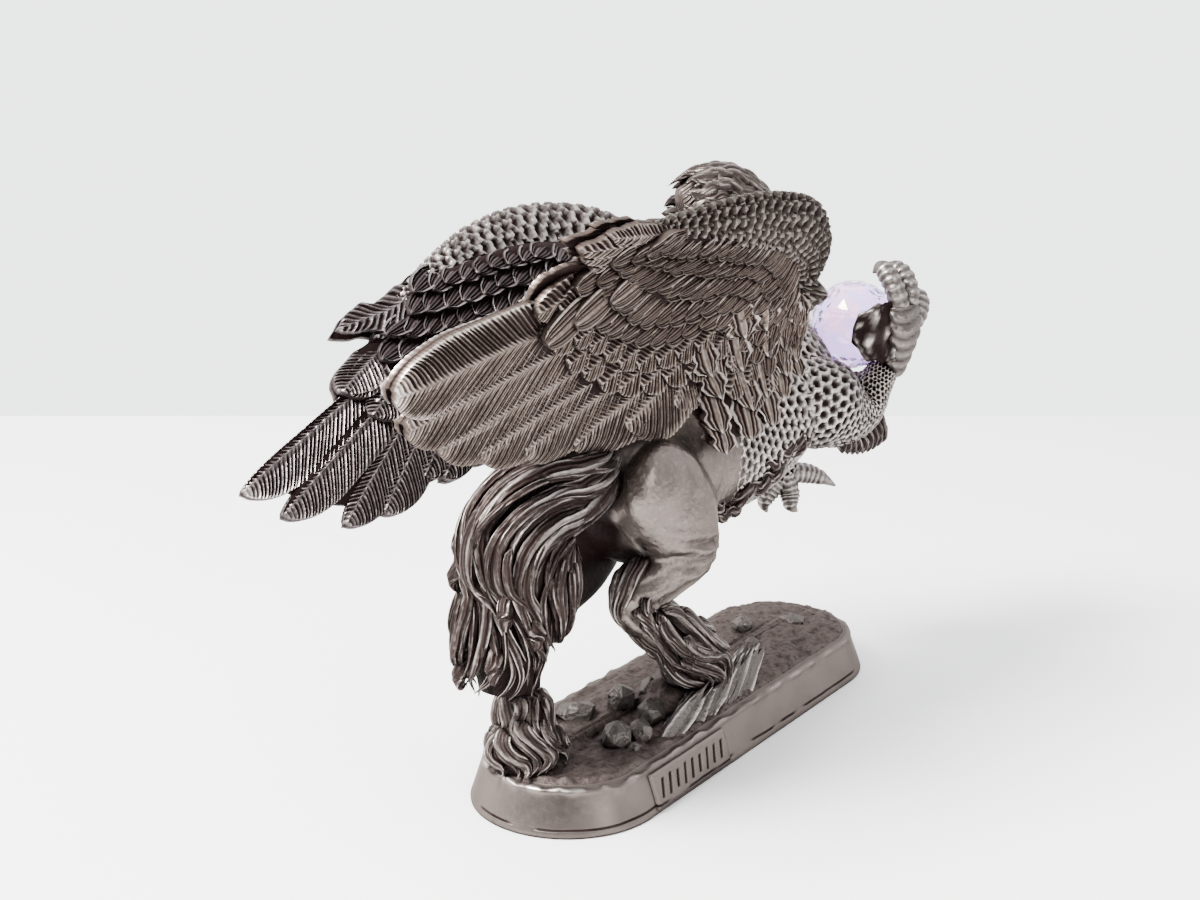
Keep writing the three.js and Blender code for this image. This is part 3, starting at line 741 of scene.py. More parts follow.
FINISHES = {
    "skin": Pewter("pewter_polished", Carving.SKIN, (0.132, 0.11, 0.1), depth=0.12),
    "scales": Pewter("pewter_scaled", Carving.SKIN, (0.11, 0.096, 0.09), reach=0.9, depth=0.08),
    "hair": Pewter(
        "pewter_hair", Carving.STRANDS, (0.049, 0.036, 0.033), reach=1.1, depth=0.2, pitch=0.62
    ),
    "crest": Pewter(
        "pewter_crest", Carving.STRANDS, (0.09, 0.073, 0.066), reach=0.9, depth=0.14, pitch=0.7, grime_and_shade=0.8
    ),
    "fetlock": Pewter("pewter_fetlock", Carving.STRANDS, (0.08, 0.062, 0.057), reach=1.1, depth=0.2),
    "feather": Pewter("pewter_feathered", Carving.SKIN, (0.108, 0.082, 0.069), 0.4, reach=0.8),
    # The next two are darker copies of the scaled and the feathered pewter, for the near wing's arm and for
    # the far wing: painted shade where those parts lie in shade.
    "band": Pewter("pewter_banded_shaded", Carving.SKIN, (0.05, 0.042, 0.036), 0.42, reach=0.9, specks=0.3),
    "shaded_far_feather": Pewter("pewter_feathered_cool_shaded", Carving.SKIN, (0.084, 0.071, 0.072), reach=0.8),
    "wall": Pewter("pewter_wall", Carving.WALL, (0.127, 0.106, 0.097), 0.38, grime_and_shade=0.85, specks=0.1),
    "ground": Pewter(
        "pewter_ground", Carving.GROUND, (0.1, 0.079, 0.073), 0.5, depth=0.4, grime_and_shade=0.66, specks=0.3
    ),
    "stone": Pewter(
        "pewter_stone", Carving.SKIN, (0.1, 0.089, 0.083), 0.5, depth=0.4, grime_and_shade=0.85, specks=0.3
    ),
}
ORDER = list(FINISHES)


def finish_number(name: str) -> int:
    """A finish's place in the castings' list of materials."""
    return ORDER.index(name)


# Plinth


@dataclass
class Plinth:
    """The oval plinth: drafted wall, ragged rim, rough ground, stones, slabs and label."""

    length: float = 74.2
    width: float = 24.0
    height: float = 5.2
    draft: float = 1.7
    rise: float = 1.2
    label_centre: float = -15.3
    label_length: float = 16.5
    label_height: float = 4.4
    label_proud: float = 0.45
    strokes: int = 9
    slates: int = 9
    blows: int = 7
    heap_at: tuple = (-3, -3.2)
    heap_size: tuple = (9.4, 4.8, 4.6)

    @property
    def half(self) -> float:
        """Half the length of the straight sides."""
        return (self.length - self.width) / 2

    def body(self) -> list[Laid]:
        """The wall and the ground, as a ball's rings drawn out to the plinth's outline.

        Returns:
            The plinth's one closed shape.
        """
        blank = Blank.round(280, 46)
        radius = self.width / 2
        # Each row is how far round the section, inset from the foot's outline, height.
        section = np.array(
            [
                [0.0, radius * 0.98, 0.0],
                [0.03, 0.3, 0.0],
                [0.05, 0.04, 0.12],
                [0.07, self.draft * 0.4 / self.height, 0.4],
                [0.36, self.draft * 4.9 / self.height, 4.9],
                [0.4, self.draft - 0.1, self.height],
                [0.44, self.draft + 0.15, self.height + 0.28],
                [0.48, self.draft + 0.8, self.height + 0.3],
                [0.56, self.draft + 1.5, self.height + self.rise * 0.7],
                [0.75, radius * 0.48, self.height + self.rise],
                [1.0, radius * 0.97, self.height + self.rise + 0.2],
            ]
        )
        along = 1 - blank.along
        inset = np.interp(along, section[:, 0], section[:, 1])
        height = np.interp(along, section[:, 0], section[:, 2])
        turn = blank.around / (2 * math.pi) + 0.5
        arc, side = math.pi * radius, 2 * self.half
        run = turn * 2 * (arc + side)
        spine, angle = np.zeros(len(run)), np.zeros(len(run))
        legs = [(0, arc, self.half, -math.pi / 2), (arc + side, arc, -self.half, math.pi / 2)]
        for start, size, x, first in legs:
            on = (run >= start) & (run <= start + size)
            spine[on], angle[on] = x, first + (run[on] - start) / radius
        for start, first, sign in [(arc, self.half, math.pi / 2), (2 * arc + side, -self.half, -math.pi / 2)]:
            on = (run > start) & (run < start + side)
            spine[on] = first - math.copysign(1, first) * (run[on] - start)
            angle[on] = sign
        reach = radius - inset
        points = np.column_stack([spine + np.cos(angle) * reach, np.sin(angle) * reach, height])
        pole = np.abs(blank.points[:, 2]) > 0.99999
        points[pole, :2] = 0
        ground = smooth(0.5, 0.56, along)
        rim = bump(along - 0.44, 0.035)
        ragged = ripple(points * FLAT, 3.4, 3)
        points[:, 2] += ground * (0.3 * ripple(points, 3.2, 5) + 0.22 * ripple(points, 1.6, 6))
        points[:, 2] += rim * (0.16 * ragged + 0.14 * ripple(points * FLAT, 1.3, 4) - 0.1)
        wallward = smooth(0.3, 0.42, along) * (1 - smooth(0.44, 0.48, along))
        outward = np.column_stack([np.cos(angle), np.sin(angle)])
        points[:, :2] += outward * (wallward * 0.16 * ripple(points * FLAT, 1.7, 9))[:, None]
        points[:, :2] += outward * ((1 - ground) * 0.08 * ripple(points, 7, 12) * (along > 0.06))[:, None]
        hollow = 0.55 * bump(along - 0.485, 0.02) + 0.25 * ground * smooth(0.1, -0.6, ripple(points, 1.6, 6))
        hollow += 0.35 * wallward * smooth(0.2, -0.8, ragged)
        # The line that the two halves of the mould left on the wall's rear end.
        mould = bump(points[:, 1] - 2.6, 0.14) * (points[:, 0] < -self.half) * (along > 0.06) * (along < 0.42)
        hollow += 0.8 * mould
        # The rim is rubbed a little bright all round; the much brighter rear end is a painted highlight.
        hollow -= (0.15 + 0.7 * smooth(-24, -33, points[:, 0])) * rim * smooth(-0.3, 0.6, ragged)
        laid = bare(blank, points, hollow=np.clip(hollow, -1, 1))
        first = blank.corners[blank.starts]
        laid.finishes = np.where(along[first] > 0.485, finish_number("ground"), finish_number("wall"))
        return [laid]

    def stone(self, x: float, y: float, rise: float, size: Sequence[float], seed: int) -> Laid:
        """A broken stone whose foot is in the ground.

        Args:
            x, y: its middle.
            rise: how far its middle is above the rim.
            size: its length, width and height.
            seed: which stone it is.

        Returns:
            The stone in its place.
        """
        rng = np.random.default_rng(seed)
        deselect()
        bpy.ops.mesh.primitive_ico_sphere_add(subdivisions=1, radius=0.5)
        with editing():
            for _ in range(self.blows):
                bpy.ops.mesh.select_all(action="SELECT")
                way = unit(rng.normal(size=3))
                cut = way * rng.uniform(0.3, 0.42)
                bpy.ops.mesh.bisect(plane_co=cut, plane_no=way, clear_outer=True, use_fill=True)
        bevel = bpy.context.object.modifiers.new("edges", "BEVEL")
        bevel.width = 0.02
        bevel.segments = 2
        bevel.limit_method = "ANGLE"
        bpy.ops.object.modifier_apply(modifier=bevel.name)
        blank = Blank.taken(bpy.context.object)
        turn = rng.uniform(0, math.pi)
        points = blank.points * np.asarray(size) * 1.02
        c, s = math.cos(turn), math.sin(turn)
        spin = np.array([[c, -s, 0], [s, c, 0], [0, 0, 1]])
        points = points @ spin.T + (x, y, self.height + rise)
        points += unit(blank.points) * (0.12 * ripple(points, 0.8, seed))[:, None]
        return bare(blank, points, finish_number("stone"), flat=True)

    def stones(self) -> list[Laid]:
        """Loose stones between the hooves, and further ones ahead.

        Returns:
            The stones in their places.
        """
        return [
            self.stone(-21.6, -4.6, 2.2, (4.4, 4, 4.2), 1),
            self.stone(-18.2, -5.8, 1.9, (3.8, 3.4, 3.8), 2),
            self.stone(-12, 1.2, 2.2, (4.8, 4, 4.8), 3),
            self.stone(-13.6, -4.4, 2.2, (4.2, 4, 4.6), 4),
            self.stone(-17.6, 4.2, 1.4, (6.8, 5.2, 3.4), 5),
            self.stone(-8.2, -0.6, 2.4, (3.6, 3.4, 4), 6),
            self.stone(19.6, 2.4, 1.3, (3.6, 3, 4.2), 7),
            self.stone(26.6, -1.6, 0.9, (4.4, 3.8, 2.6), 8),
            self.stone(-21, -6.6, 0.9, (2.4, 2.2, 2), 9),
            self.stone(23, 3.6, 0.7, (3, 2.4, 2), 10),
            self.stone(16, -1.2, 1.0, (2.6, 2.2, 2.4), 11),
        ]

    def slabs(self) -> list[Laid]:
        """The heap under the right hoof and the slate on edge that leans on it.

        Returns:
            The heap and its slates.
        """
        parts = []
        heap = Blank.round(48, 24)
        points = heap.points * self.heap_size + (*self.heap_at, self.height + 0.4)
        swell = 0.5 * ripple(points, 4, 21) + 0.3 * ripple(points, 1.8, 22)
        points += unit(heap.points) * swell[:, None]
        parts.append(bare(heap, points, finish_number("ground")))
        rng = np.random.default_rng(31)
        for i in range(self.slates):
            share = i / (self.slates - 1)
            foot = np.array([-15.8 + 15.5 * share, -7.9 - 0.5 * share, self.height])
            lean = np.array([8.4, 0.6, 5.0]) * (1 - 0.3 * abs(share - 0.4) + 0.12 * rng.uniform())
            foot += rng.uniform(-0.5, 0.5, 3) * (1, 1, 0.3)
            lean += rng.uniform(-0.9, 0.9, 3)
            wide = 2.9 * rng.uniform(0.7, 1.15)
            thick = 1.05 * rng.uniform(0.7, 1.25)
            parts.append(self.slab(foot, lean, wide, thick, i))
        return parts

    def slab(self, foot: Array, lean: Array, wide: float, thick: float, seed: int) -> Laid:
        """One broken slate, from its foot along its lean.

        Args:
            foot: the place of its foot.
            lean: the way to its head, as long as the slate.
            wide: its width in mm.
            thick: its thickness in mm.
            seed: which slate it is.

        Returns:
            The slate in its place.
        """
        deselect()
        bpy.ops.mesh.primitive_cube_add(size=1)
        with editing():
            bpy.ops.mesh.subdivide(number_cuts=5)
        blank = Blank.taken(bpy.context.object)
        ahead = unit(lean)
        upright = np.array([-0.5, 0.5, 0.8])
        broad = unit(upright - ahead * (upright @ ahead))
        flat = np.cross(ahead, broad)
        run = blank.points[:, 2] + 0.5
        taper = 1 - 0.45 * smooth(0.5, 1.0, run) - 0.2 * smooth(0.3, 0, run)
        ends = 0.12 * np.sin(blank.points[:, 0] * 9 + seed * 2.1)
        points = (
            foot
            + lean * (run * (1 + ends))[:, None]
            + broad * (blank.points[:, 0] * wide * taper)[:, None]
            + flat * (blank.points[:, 1] * thick * (0.75 + 0.25 * taper))[:, None]
        )
        split = ripple(blank.points * (6, 6, 1), 2.2, 60 + seed)
        points += flat * (0.26 * split * np.sign(blank.points[:, 1]))[:, None]
        points += broad * (0.2 * ripple(blank.points * (4, 4, 9), 2.6, 70 + seed))[:, None]
        edge = np.abs(blank.points[:, :2]).min(axis=1) > 0.45
        hollow = np.clip(-split, 0, 1) * 0.5 - 0.7 * edge
        return bare(blank, points, finish_number("stone"), hollow, True)

    def label(self) -> Laid:
        """The raised label on the right wall, with one row of slanted strokes cut in it.

        Returns:
            The label in its place.
        """
        blank = Blank.leaf(132, 36)
        x = blank.points[:, 0] * self.label_length / 2
        up = blank.points[:, 1] * self.label_height / 2
        top = blank.points[:, 2] > -0.5
        pitch = self.label_length / (self.strokes + 1)
        cut = np.zeros(len(x))
        for i in range(self.strokes):
            centre = (i - (self.strokes - 1) / 2) * pitch
            across = np.abs(x - centre - 0.3 * up)
            ends = np.abs(up) - self.label_height * (0.24 + 0.03 * math.sin(i * 2.3))
            cut = np.maximum(cut, smooth(0.34, 0.16, across) * smooth(0.16, -0.06, ends))
        worn = smooth(0.0, 0.4, self.label_length / 2 - np.abs(x))
        worn *= smooth(0.0, 0.4, self.label_height / 2 - np.abs(up))
        out = np.where(top, self.label_proud * (0.5 + 0.5 * worn) - 0.3 * cut, -1.2)
        lean = math.atan2(self.draft, self.height)
        z = self.height / 2 + up * math.cos(lean) + out * math.sin(lean)
        y = -(self.width / 2 - self.draft / 2) + up * math.sin(lean) - out * math.cos(lean)
        points = np.column_stack([self.label_centre + x, y, z])
        points[:, 1] -= 0.04 * ripple(points, 3, 41) * top
        return bare(blank, points, finish_number("wall"), np.clip(cut * 1.3, 0, 1))

    def parts(self) -> list[Laid]:
        """All that the plinth carries."""
        return [*self.body(), self.label(), *self.slabs(), *self.stones()]


# Horse


# How much of a flick the last three places of a lock take.
FLICKED = np.array([[0.2], [0.6], [1.0]])


@dataclass
class Horse:
    """The back half: trunk, haunches, feathered hooves and the long wavy tail."""

    trunk: Stations = (
        (-20.4, 0, 37, 4, 3.6),
        (-16.5, 0, 37.4, 7, 6.4),
        (-8, 0, 36.8, 7.6, 7.4),
        (1, 0, 35.9, 7.8, 7.8),
        (9, 0, 36.6, 8, 8.4),
        (16, 0, 39.2, 8.4, 8.6),
        (23, -0.3, 42.2, 7.8, 7.8),
        (27.6, -0.5, 44.6, 5, 5),
    )
    right_hind: Stations = (
        (-17, -4.2, 41, 3.4, 3.6),
        (-15.4, -5, 37.6, 4.8, 6.8),
        (-12, -6.2, 33, 4.8, 6.6),
        (-10.8, -6.8, 28.8, 4, 4.3),
        (-13.8, -6.2, 26.4, 3, 3.4),
        (-18.6, -5, 24.2, 2.2, 2.5),
        (-19.4, -4.9, 22.8, 2, 2.2),
        (-14.8, -5.4, 19.4, 2, 2.4),
        (-9.2, -6, 16.2, 2.4, 2.9),
        (-5.4, -5.9, 12.6, 3, 3.8),
        (-4, -5.4, 9, 2.8, 3.6),
    )
    left_hind: Stations = (
        (-17, 4, 40.6, 3.4, 3.6),
        (-14, 5.2, 36.6, 4.6, 6.4),
        (-12.2, 5.6, 30.4, 4.4, 6.3),
        (-14.6, 5.3, 26.2, 3.4, 5),
        (-21, 4.6, 23.4, 2.6, 3.6),
        (-27.2, 3.6, 20.4, 2.1, 2.8),
        (-30, 3, 15.4, 1.9, 2.2),
        (-30.6, 2.2, 10.6, 2.8, 3),
        (-30.8, 1.8, 7.4, 3.6, 3.8),
        (-30.8, 1.8, 4, 3.4, 3.6),
    )
    right_hair: Stations = (
        (-18.2, -5.2, 23.6, 2.5, 2.7),
        (-15.4, -5.5, 20.6, 2.6, 2.9),
        (-11.4, -5.8, 17.4, 2.9, 3.5),
        (-7.6, -5.9, 13.9, 3.4, 4.1),
        (-5, -5.5, 11.4, 3.7, 4.8),
        (-4, -5, 9.2, 3.5, 4.6),
    )
    hock_hair: Stations = (
        (-15.6, -5.8, 26.8, 2.7, 3.0),
        (-18.8, -5.1, 24.8, 2.4, 2.6),
        (-18.9, -5, 22.8, 2.2, 2.4),
        (-15.6, -5.4, 20, 2.3, 2.6),
    )
    left_hair: Stations = (
        (-30.6, 3.1, 15, 2, 2.3),
        (-30.5, 2.4, 11.4, 3.1, 3.5),
        (-30.8, 2, 8, 4, 4.4),
        (-30.8, 1.8, 5.6, 4.6, 5),
    )
    tail: Stations = (
        (-15, 0, 38.6, 2.8, 2.8),
        (-20.6, 0.3, 38.8, 3.4, 3.4),
        (-25.6, 0.5, 38.8, 4.2, 4.2),
        (-30.4, 1, 37.2, 5.3, 5.3),
        (-32.6, 1.2, 33.8, 5.9, 5.9),
        (-33.2, 1.4, 28.4, 6, 6),
        (-34.8, 1.8, 23.4, 5.6, 5.6),
        (-35.2, 1.8, 18.8, 4.3, 4.3),
        (-35.6, 1.9, 15.8, 3.2, 3.2),
    )
    hoof_locks: int = 18
    tail_locks: int = 30
    loose_locks: int = 64
    grain: float = 0.5
    curl: tuple = ((0, 2.4), (0.34, 0.9), (0.5, -0.4), (0.44, -1.4), (0.3, -1.2))
    muscles: tuple = (
        ((-15.6, -6.2, 37.2), (6.2, 3.4, 6.0)),
        ((-15.6, 6.2, 37), (6.2, 3.4, 6)),
        ((-13, 0, 31.6), (5.2, 5.4, 5.2)),
    )
    creases: tuple = (
        ((-22, -9.6, 34.2), (-19, -10.6, 32.4), (-15, -11, 30.9), (-10, -10.8, 30.2)),
        ((-17.6, -9.2, 29.2), (-13.6, -10.2, 28.4), (-9.6, -10.2, 28.3)),
        ((-17, -9, 28.2), (-13.4, -9.8, 27.3), (-10, -9.6, 27.2)),
        ((-11.4, -10.6, 41), (-9.6, -11, 38.4), (-8.6, -11, 35.6)),
        ((-13.6, -10.2, 42), (-12.4, -11, 40), (-12.2, -11.2, 38)),
        ((-15.2, -7.6, 27.4), (-18.6, -7, 26.2), (-21.4, -6.4, 26)),
        ((-16.4, -7, 24.4), (-18.8, -6.6, 23), (-18.6, -6.6, 21.4)),
        ((-21.6, -6.4, 24.4), (-20.6, -6.8, 22.6), (-18.4, -6.8, 20.4)),
        ((-11, -9, 26), (-14.4, -8.6, 24.6), (-16.6, -7.8, 23.8)),
    )

    def hide(self, arms: Sequence[Stations]) -> Laid:
        """The smooth body, run together as cast: trunk, legs and the roots of the forelegs.

        Args:
            arms: stations of the eagle's neck and forelegs, which run into the trunk.

        Returns:
            One closed skin with the creases of the thigh pressed in.
        """
        objects = []
        trunk = (*self.trunk[:-2], *thinned(self.trunk[-2:], 0.82))
        hidden = [thinned(arm, 0.8) for arm in arms]
        for stations in [trunk, self.right_hind, self.left_hind, *hidden]:
            objects.append(loose_mesh(swept(Blank.round(28, 40), stations)))
        for place, size in self.muscles:
            deselect()
            bpy.ops.mesh.primitive_uv_sphere_add(segments=32, ring_count=20, location=place, scale=size)
            objects.append(bpy.context.object)
        deselect()
        for obj in objects:
            obj.select_set(True)
        bpy.context.view_layer.objects.active = objects[0]
        bpy.ops.object.join()
        body = bpy.context.object
        body.data.remesh_voxel_size = self.grain
        bpy.ops.object.voxel_remesh()
        relax = body.modifiers.new("relax", "SMOOTH")
        relax.factor = 0.6
        relax.iterations = 9
        bpy.ops.object.modifier_apply(modifier=relax.name)
        blank = Blank.taken(body)
        points = blank.points.copy()
        hollow = np.zeros(len(points))
        centre = points.mean(axis=0)
        for crease in self.creases:
            line = spline(np.array(crease), np.linspace(0, 1, 40))
            gap = np.min(np.linalg.norm((points[:, None, :] - line[None]) * (1, 0.35, 1), axis=2), axis=1)
            near = smooth(-0.5, -4, points[:, 1])
            press = bump(gap, 0.36) * near
            points[:, 1] += 0.5 * press - 0.25 * bump(gap - 1.0, 0.5) * near
            hollow = np.maximum(hollow, 0.5 * press)
        x, y, z = points.T
        # The inner side of the haunch, between the legs, is painted dark as shade.
        inner = smooth(-4.4, -1.5, y) * smooth(37.5, 34.5, z) * smooth(-7, -11, x)
        hollow = np.maximum(hollow, inner)
        swell = 0.16 * ripple(points, 4.2, 51) + 0.05 * ripple(points, 1.2, 52)
        points += unit(points - centre) * swell[:, None]
        return bare(blank, points, finish_number("skin"), hollow)

    def tail_parts(self) -> list[Laid]:
        """The tail: a core painted black as shade, with long waving locks laid round it, and looser ones that
        curl.

        Returns:
            The core and every lock.
        """
        rows = np.array(self.tail)
        parts = [self.shaded_core(rows, 0.76)]
        rng = np.random.default_rng(61)
        hair = finish_number("hair")
        blank = Blank.round(14, 44)
        for i in range(self.tail_locks):
            turn = 2 * math.pi * i / self.tail_locks
            out = 0.84 + 0.18 * rng.uniform()
            phase = math.sin(turn) + rng.uniform(-0.3, 0.3)
            first, last = rng.uniform(0, 0.12), rng.uniform(0.86, 1)
            path = self.round_tail(rows, turn, first, last, 0.72, out, phase)
            parts.append(lock(blank, path, rng.uniform(0.95, 1.4), 0.95, i, self.facing(turn), hair))
        blank = Blank.round(8, 30)
        for i in range(self.loose_locks):
            turn = 2 * math.pi * (i + rng.uniform(-0.4, 0.4)) / self.loose_locks
            first = rng.uniform(0.02, 0.6)
            last = min(0.96, first + rng.uniform(0.25, 0.5))
            phase = math.sin(turn) + rng.uniform(-0.5, 0.5)
            path = self.round_tail(rows, turn, first, last, 0.78, rng.uniform(1.0, 1.12), phase)
            flick = unit(path[-1] - spline(rows[:, :3], np.array([last]))[0]) * rng.uniform(0, 0.5)
            path[-3:] += flick * FLICKED
            parts.append(lock(blank, path, rng.uniform(0.42, 0.78), 0.9, 40 + i, self.facing(turn), hair))
        for i, share in enumerate((0.5, 0.58, 0.64, 0.7, 0.8, 0.86)):
            x, y, z, radius = spline(rows[:, :4], np.array([share]))[0]
            aside = unit(np.array([-0.573 + 0.3 * math.sin(i * 2.3), 0.819 * math.cos(i * 1.1), 0]))
            start = np.array([x, y, z]) + aside * radius * 0.7
            path = [start + aside * radius * out + (0, 0, up) for out, up in self.curl]
            parts.append(lock(blank, np.array(path), 1.25, 0.8, 130 + i, (0.3, 0.3, 0.9), hair))
        return parts

    def shaded_core(self, rows: Array, share: float) -> Laid:
        """The mass under the locks, which is seen only between them and is painted black as shade there.

        Args:
            rows: stations of the whole mass.
            share: how thick the core is, as a share of that mass.

        Returns:
            The core in its place.
        """
        core = rows.copy()
        core[:, 3:] *= share

        def black(along: Array, around: Array) -> tuple[Array, Array]:
            """A plain skin, painted black all over as shade."""
            return np.zeros(len(along)), np.ones(len(along))

        # Hollow 1 over the whole core paints it black, as the shade between the locks.
        return swept(Blank.round(24, 24), core, relief=black, finish=finish_number("hair"))

    def facing(self, turn: float) -> tuple[float, float, float]:
        """The way a lock is flat against the tail."""
        return (0.3 * math.sin(turn), math.cos(turn) + 0.01, 0.2)

    def round_tail(
        self, rows: Array, turn: float, first: float, last: float, wave: float, out: float, phase: float
    ) -> Array:
        """A waving path on the tail's skin.

        Args:
            rows: the tail's stations.
            turn: the angle round the tail at the path's start.
            first, last: shares of the tail's length.
            wave: how far it swings to each side, in radians.
            out: its distance from the tail's middle, as a share of the radius.
            phase: where in the wave it starts.

        Returns:
            Places along the path.
        """
        share = np.linspace(first, last, 16)
        centre = spline(rows[:, :3], share)
        tangent = unit(spline(rows[:, :3], share + 0.01) - spline(rows[:, :3], share - 0.01))
        side = unit(np.array([0, 1.0, 0]) - tangent * tangent[:, 1:2])
        normal = np.cross(tangent, side)
        swing = turn + wave * np.sin(share * 9.5 + phase) + 0.5 * share
        radius = spline(rows[:, 3:5], share)[:, 0] * out * (1 + 0.09 * np.sin(share * 15 + phase * 2))
        return centre + side * (np.sin(swing) * radius)[:, None] + normal * (np.cos(swing) * radius)[:, None]

    def hoof_hair(self, stations: Stations, seed: int) -> list[Laid]:
        """A skirt of wavy hair round a hoof.

        Args:
            stations: the skirt's whole mass.
            seed: which skirt it is.

        Returns:
            The skirt's core, painted black as shade, then its locks.
        """
        rows = np.array(stations)
        parts = [self.shaded_core(rows, 0.78)]
        rng = np.random.default_rng(seed)
        hair = finish_number("fetlock")
        blank = Blank.round(10, 24)
        for i in range(self.hoof_locks * 2):
            turn = 2 * math.pi * (i + rng.uniform(-0.3, 0.3)) / self.hoof_locks
            first = rng.uniform(0.25, 0.5) if i % 2 else rng.uniform(0, 0.1)
            phase = 1.3 * math.sin(turn * 2)
            last, out = rng.uniform(0.86, 1.0), 0.9 + 0.12 * (i % 2)
            path = self.round_tail(rows, turn, first, last, 0.28, out, phase)
            flick = unit(path[-1] - rows[-1, :3]) * (0.5, 0.5, 0.1) * rng.uniform(0.2, 1.4)
            path[-3:] += flick * FLICKED
            parts.append(lock(blank, path, rng.uniform(0.85, 1.25), 0.8, seed + i, self.facing(turn), hair))
        return parts

    def parts(self, arms: Sequence[Stations]) -> list[Laid]:
        """All of the horse. Only a few locks of the hock's skirt are there, without its core.

        Args:
            arms: stations of the eagle's neck and forelegs, which run into the trunk.

        Returns:
            The hide, the tail and the hair.
        """
        hock = self.hoof_hair(self.hock_hair, 150)[2::5]
        return [
            self.hide(arms),
            *self.tail_parts(),
            *self.hoof_hair(self.right_hair, 100),
            *hock,
            *self.hoof_hair(self.left_hair, 200),
        ]


def thinned(stations: Stations, share: float) -> Stations:
    """The same stations with only a share of their width and depth."""
    return [(*row[:3], row[3] * share, row[4] * share) for row in stations]


def loose_mesh(laid: Laid) -> bpy.types.Object:
    """A laid copy as an object of its own, in millimetres, to be run together with others.

    Args:
        laid: the copy.

    Returns:
        The object, which is the active one.
    """
    mesh = bpy.data.meshes.new("loose")
    mesh.from_pydata(laid.points.tolist(), [], [face.tolist() for face in laid.blank.faces()])
    obj = placed("loose", mesh)
    deselect()
    obj.select_set(True)
    bpy.context.view_layer.objects.active = obj
    with editing():
        bpy.ops.mesh.normals_make_consistent(inside=False)
    return obj


# Eagle


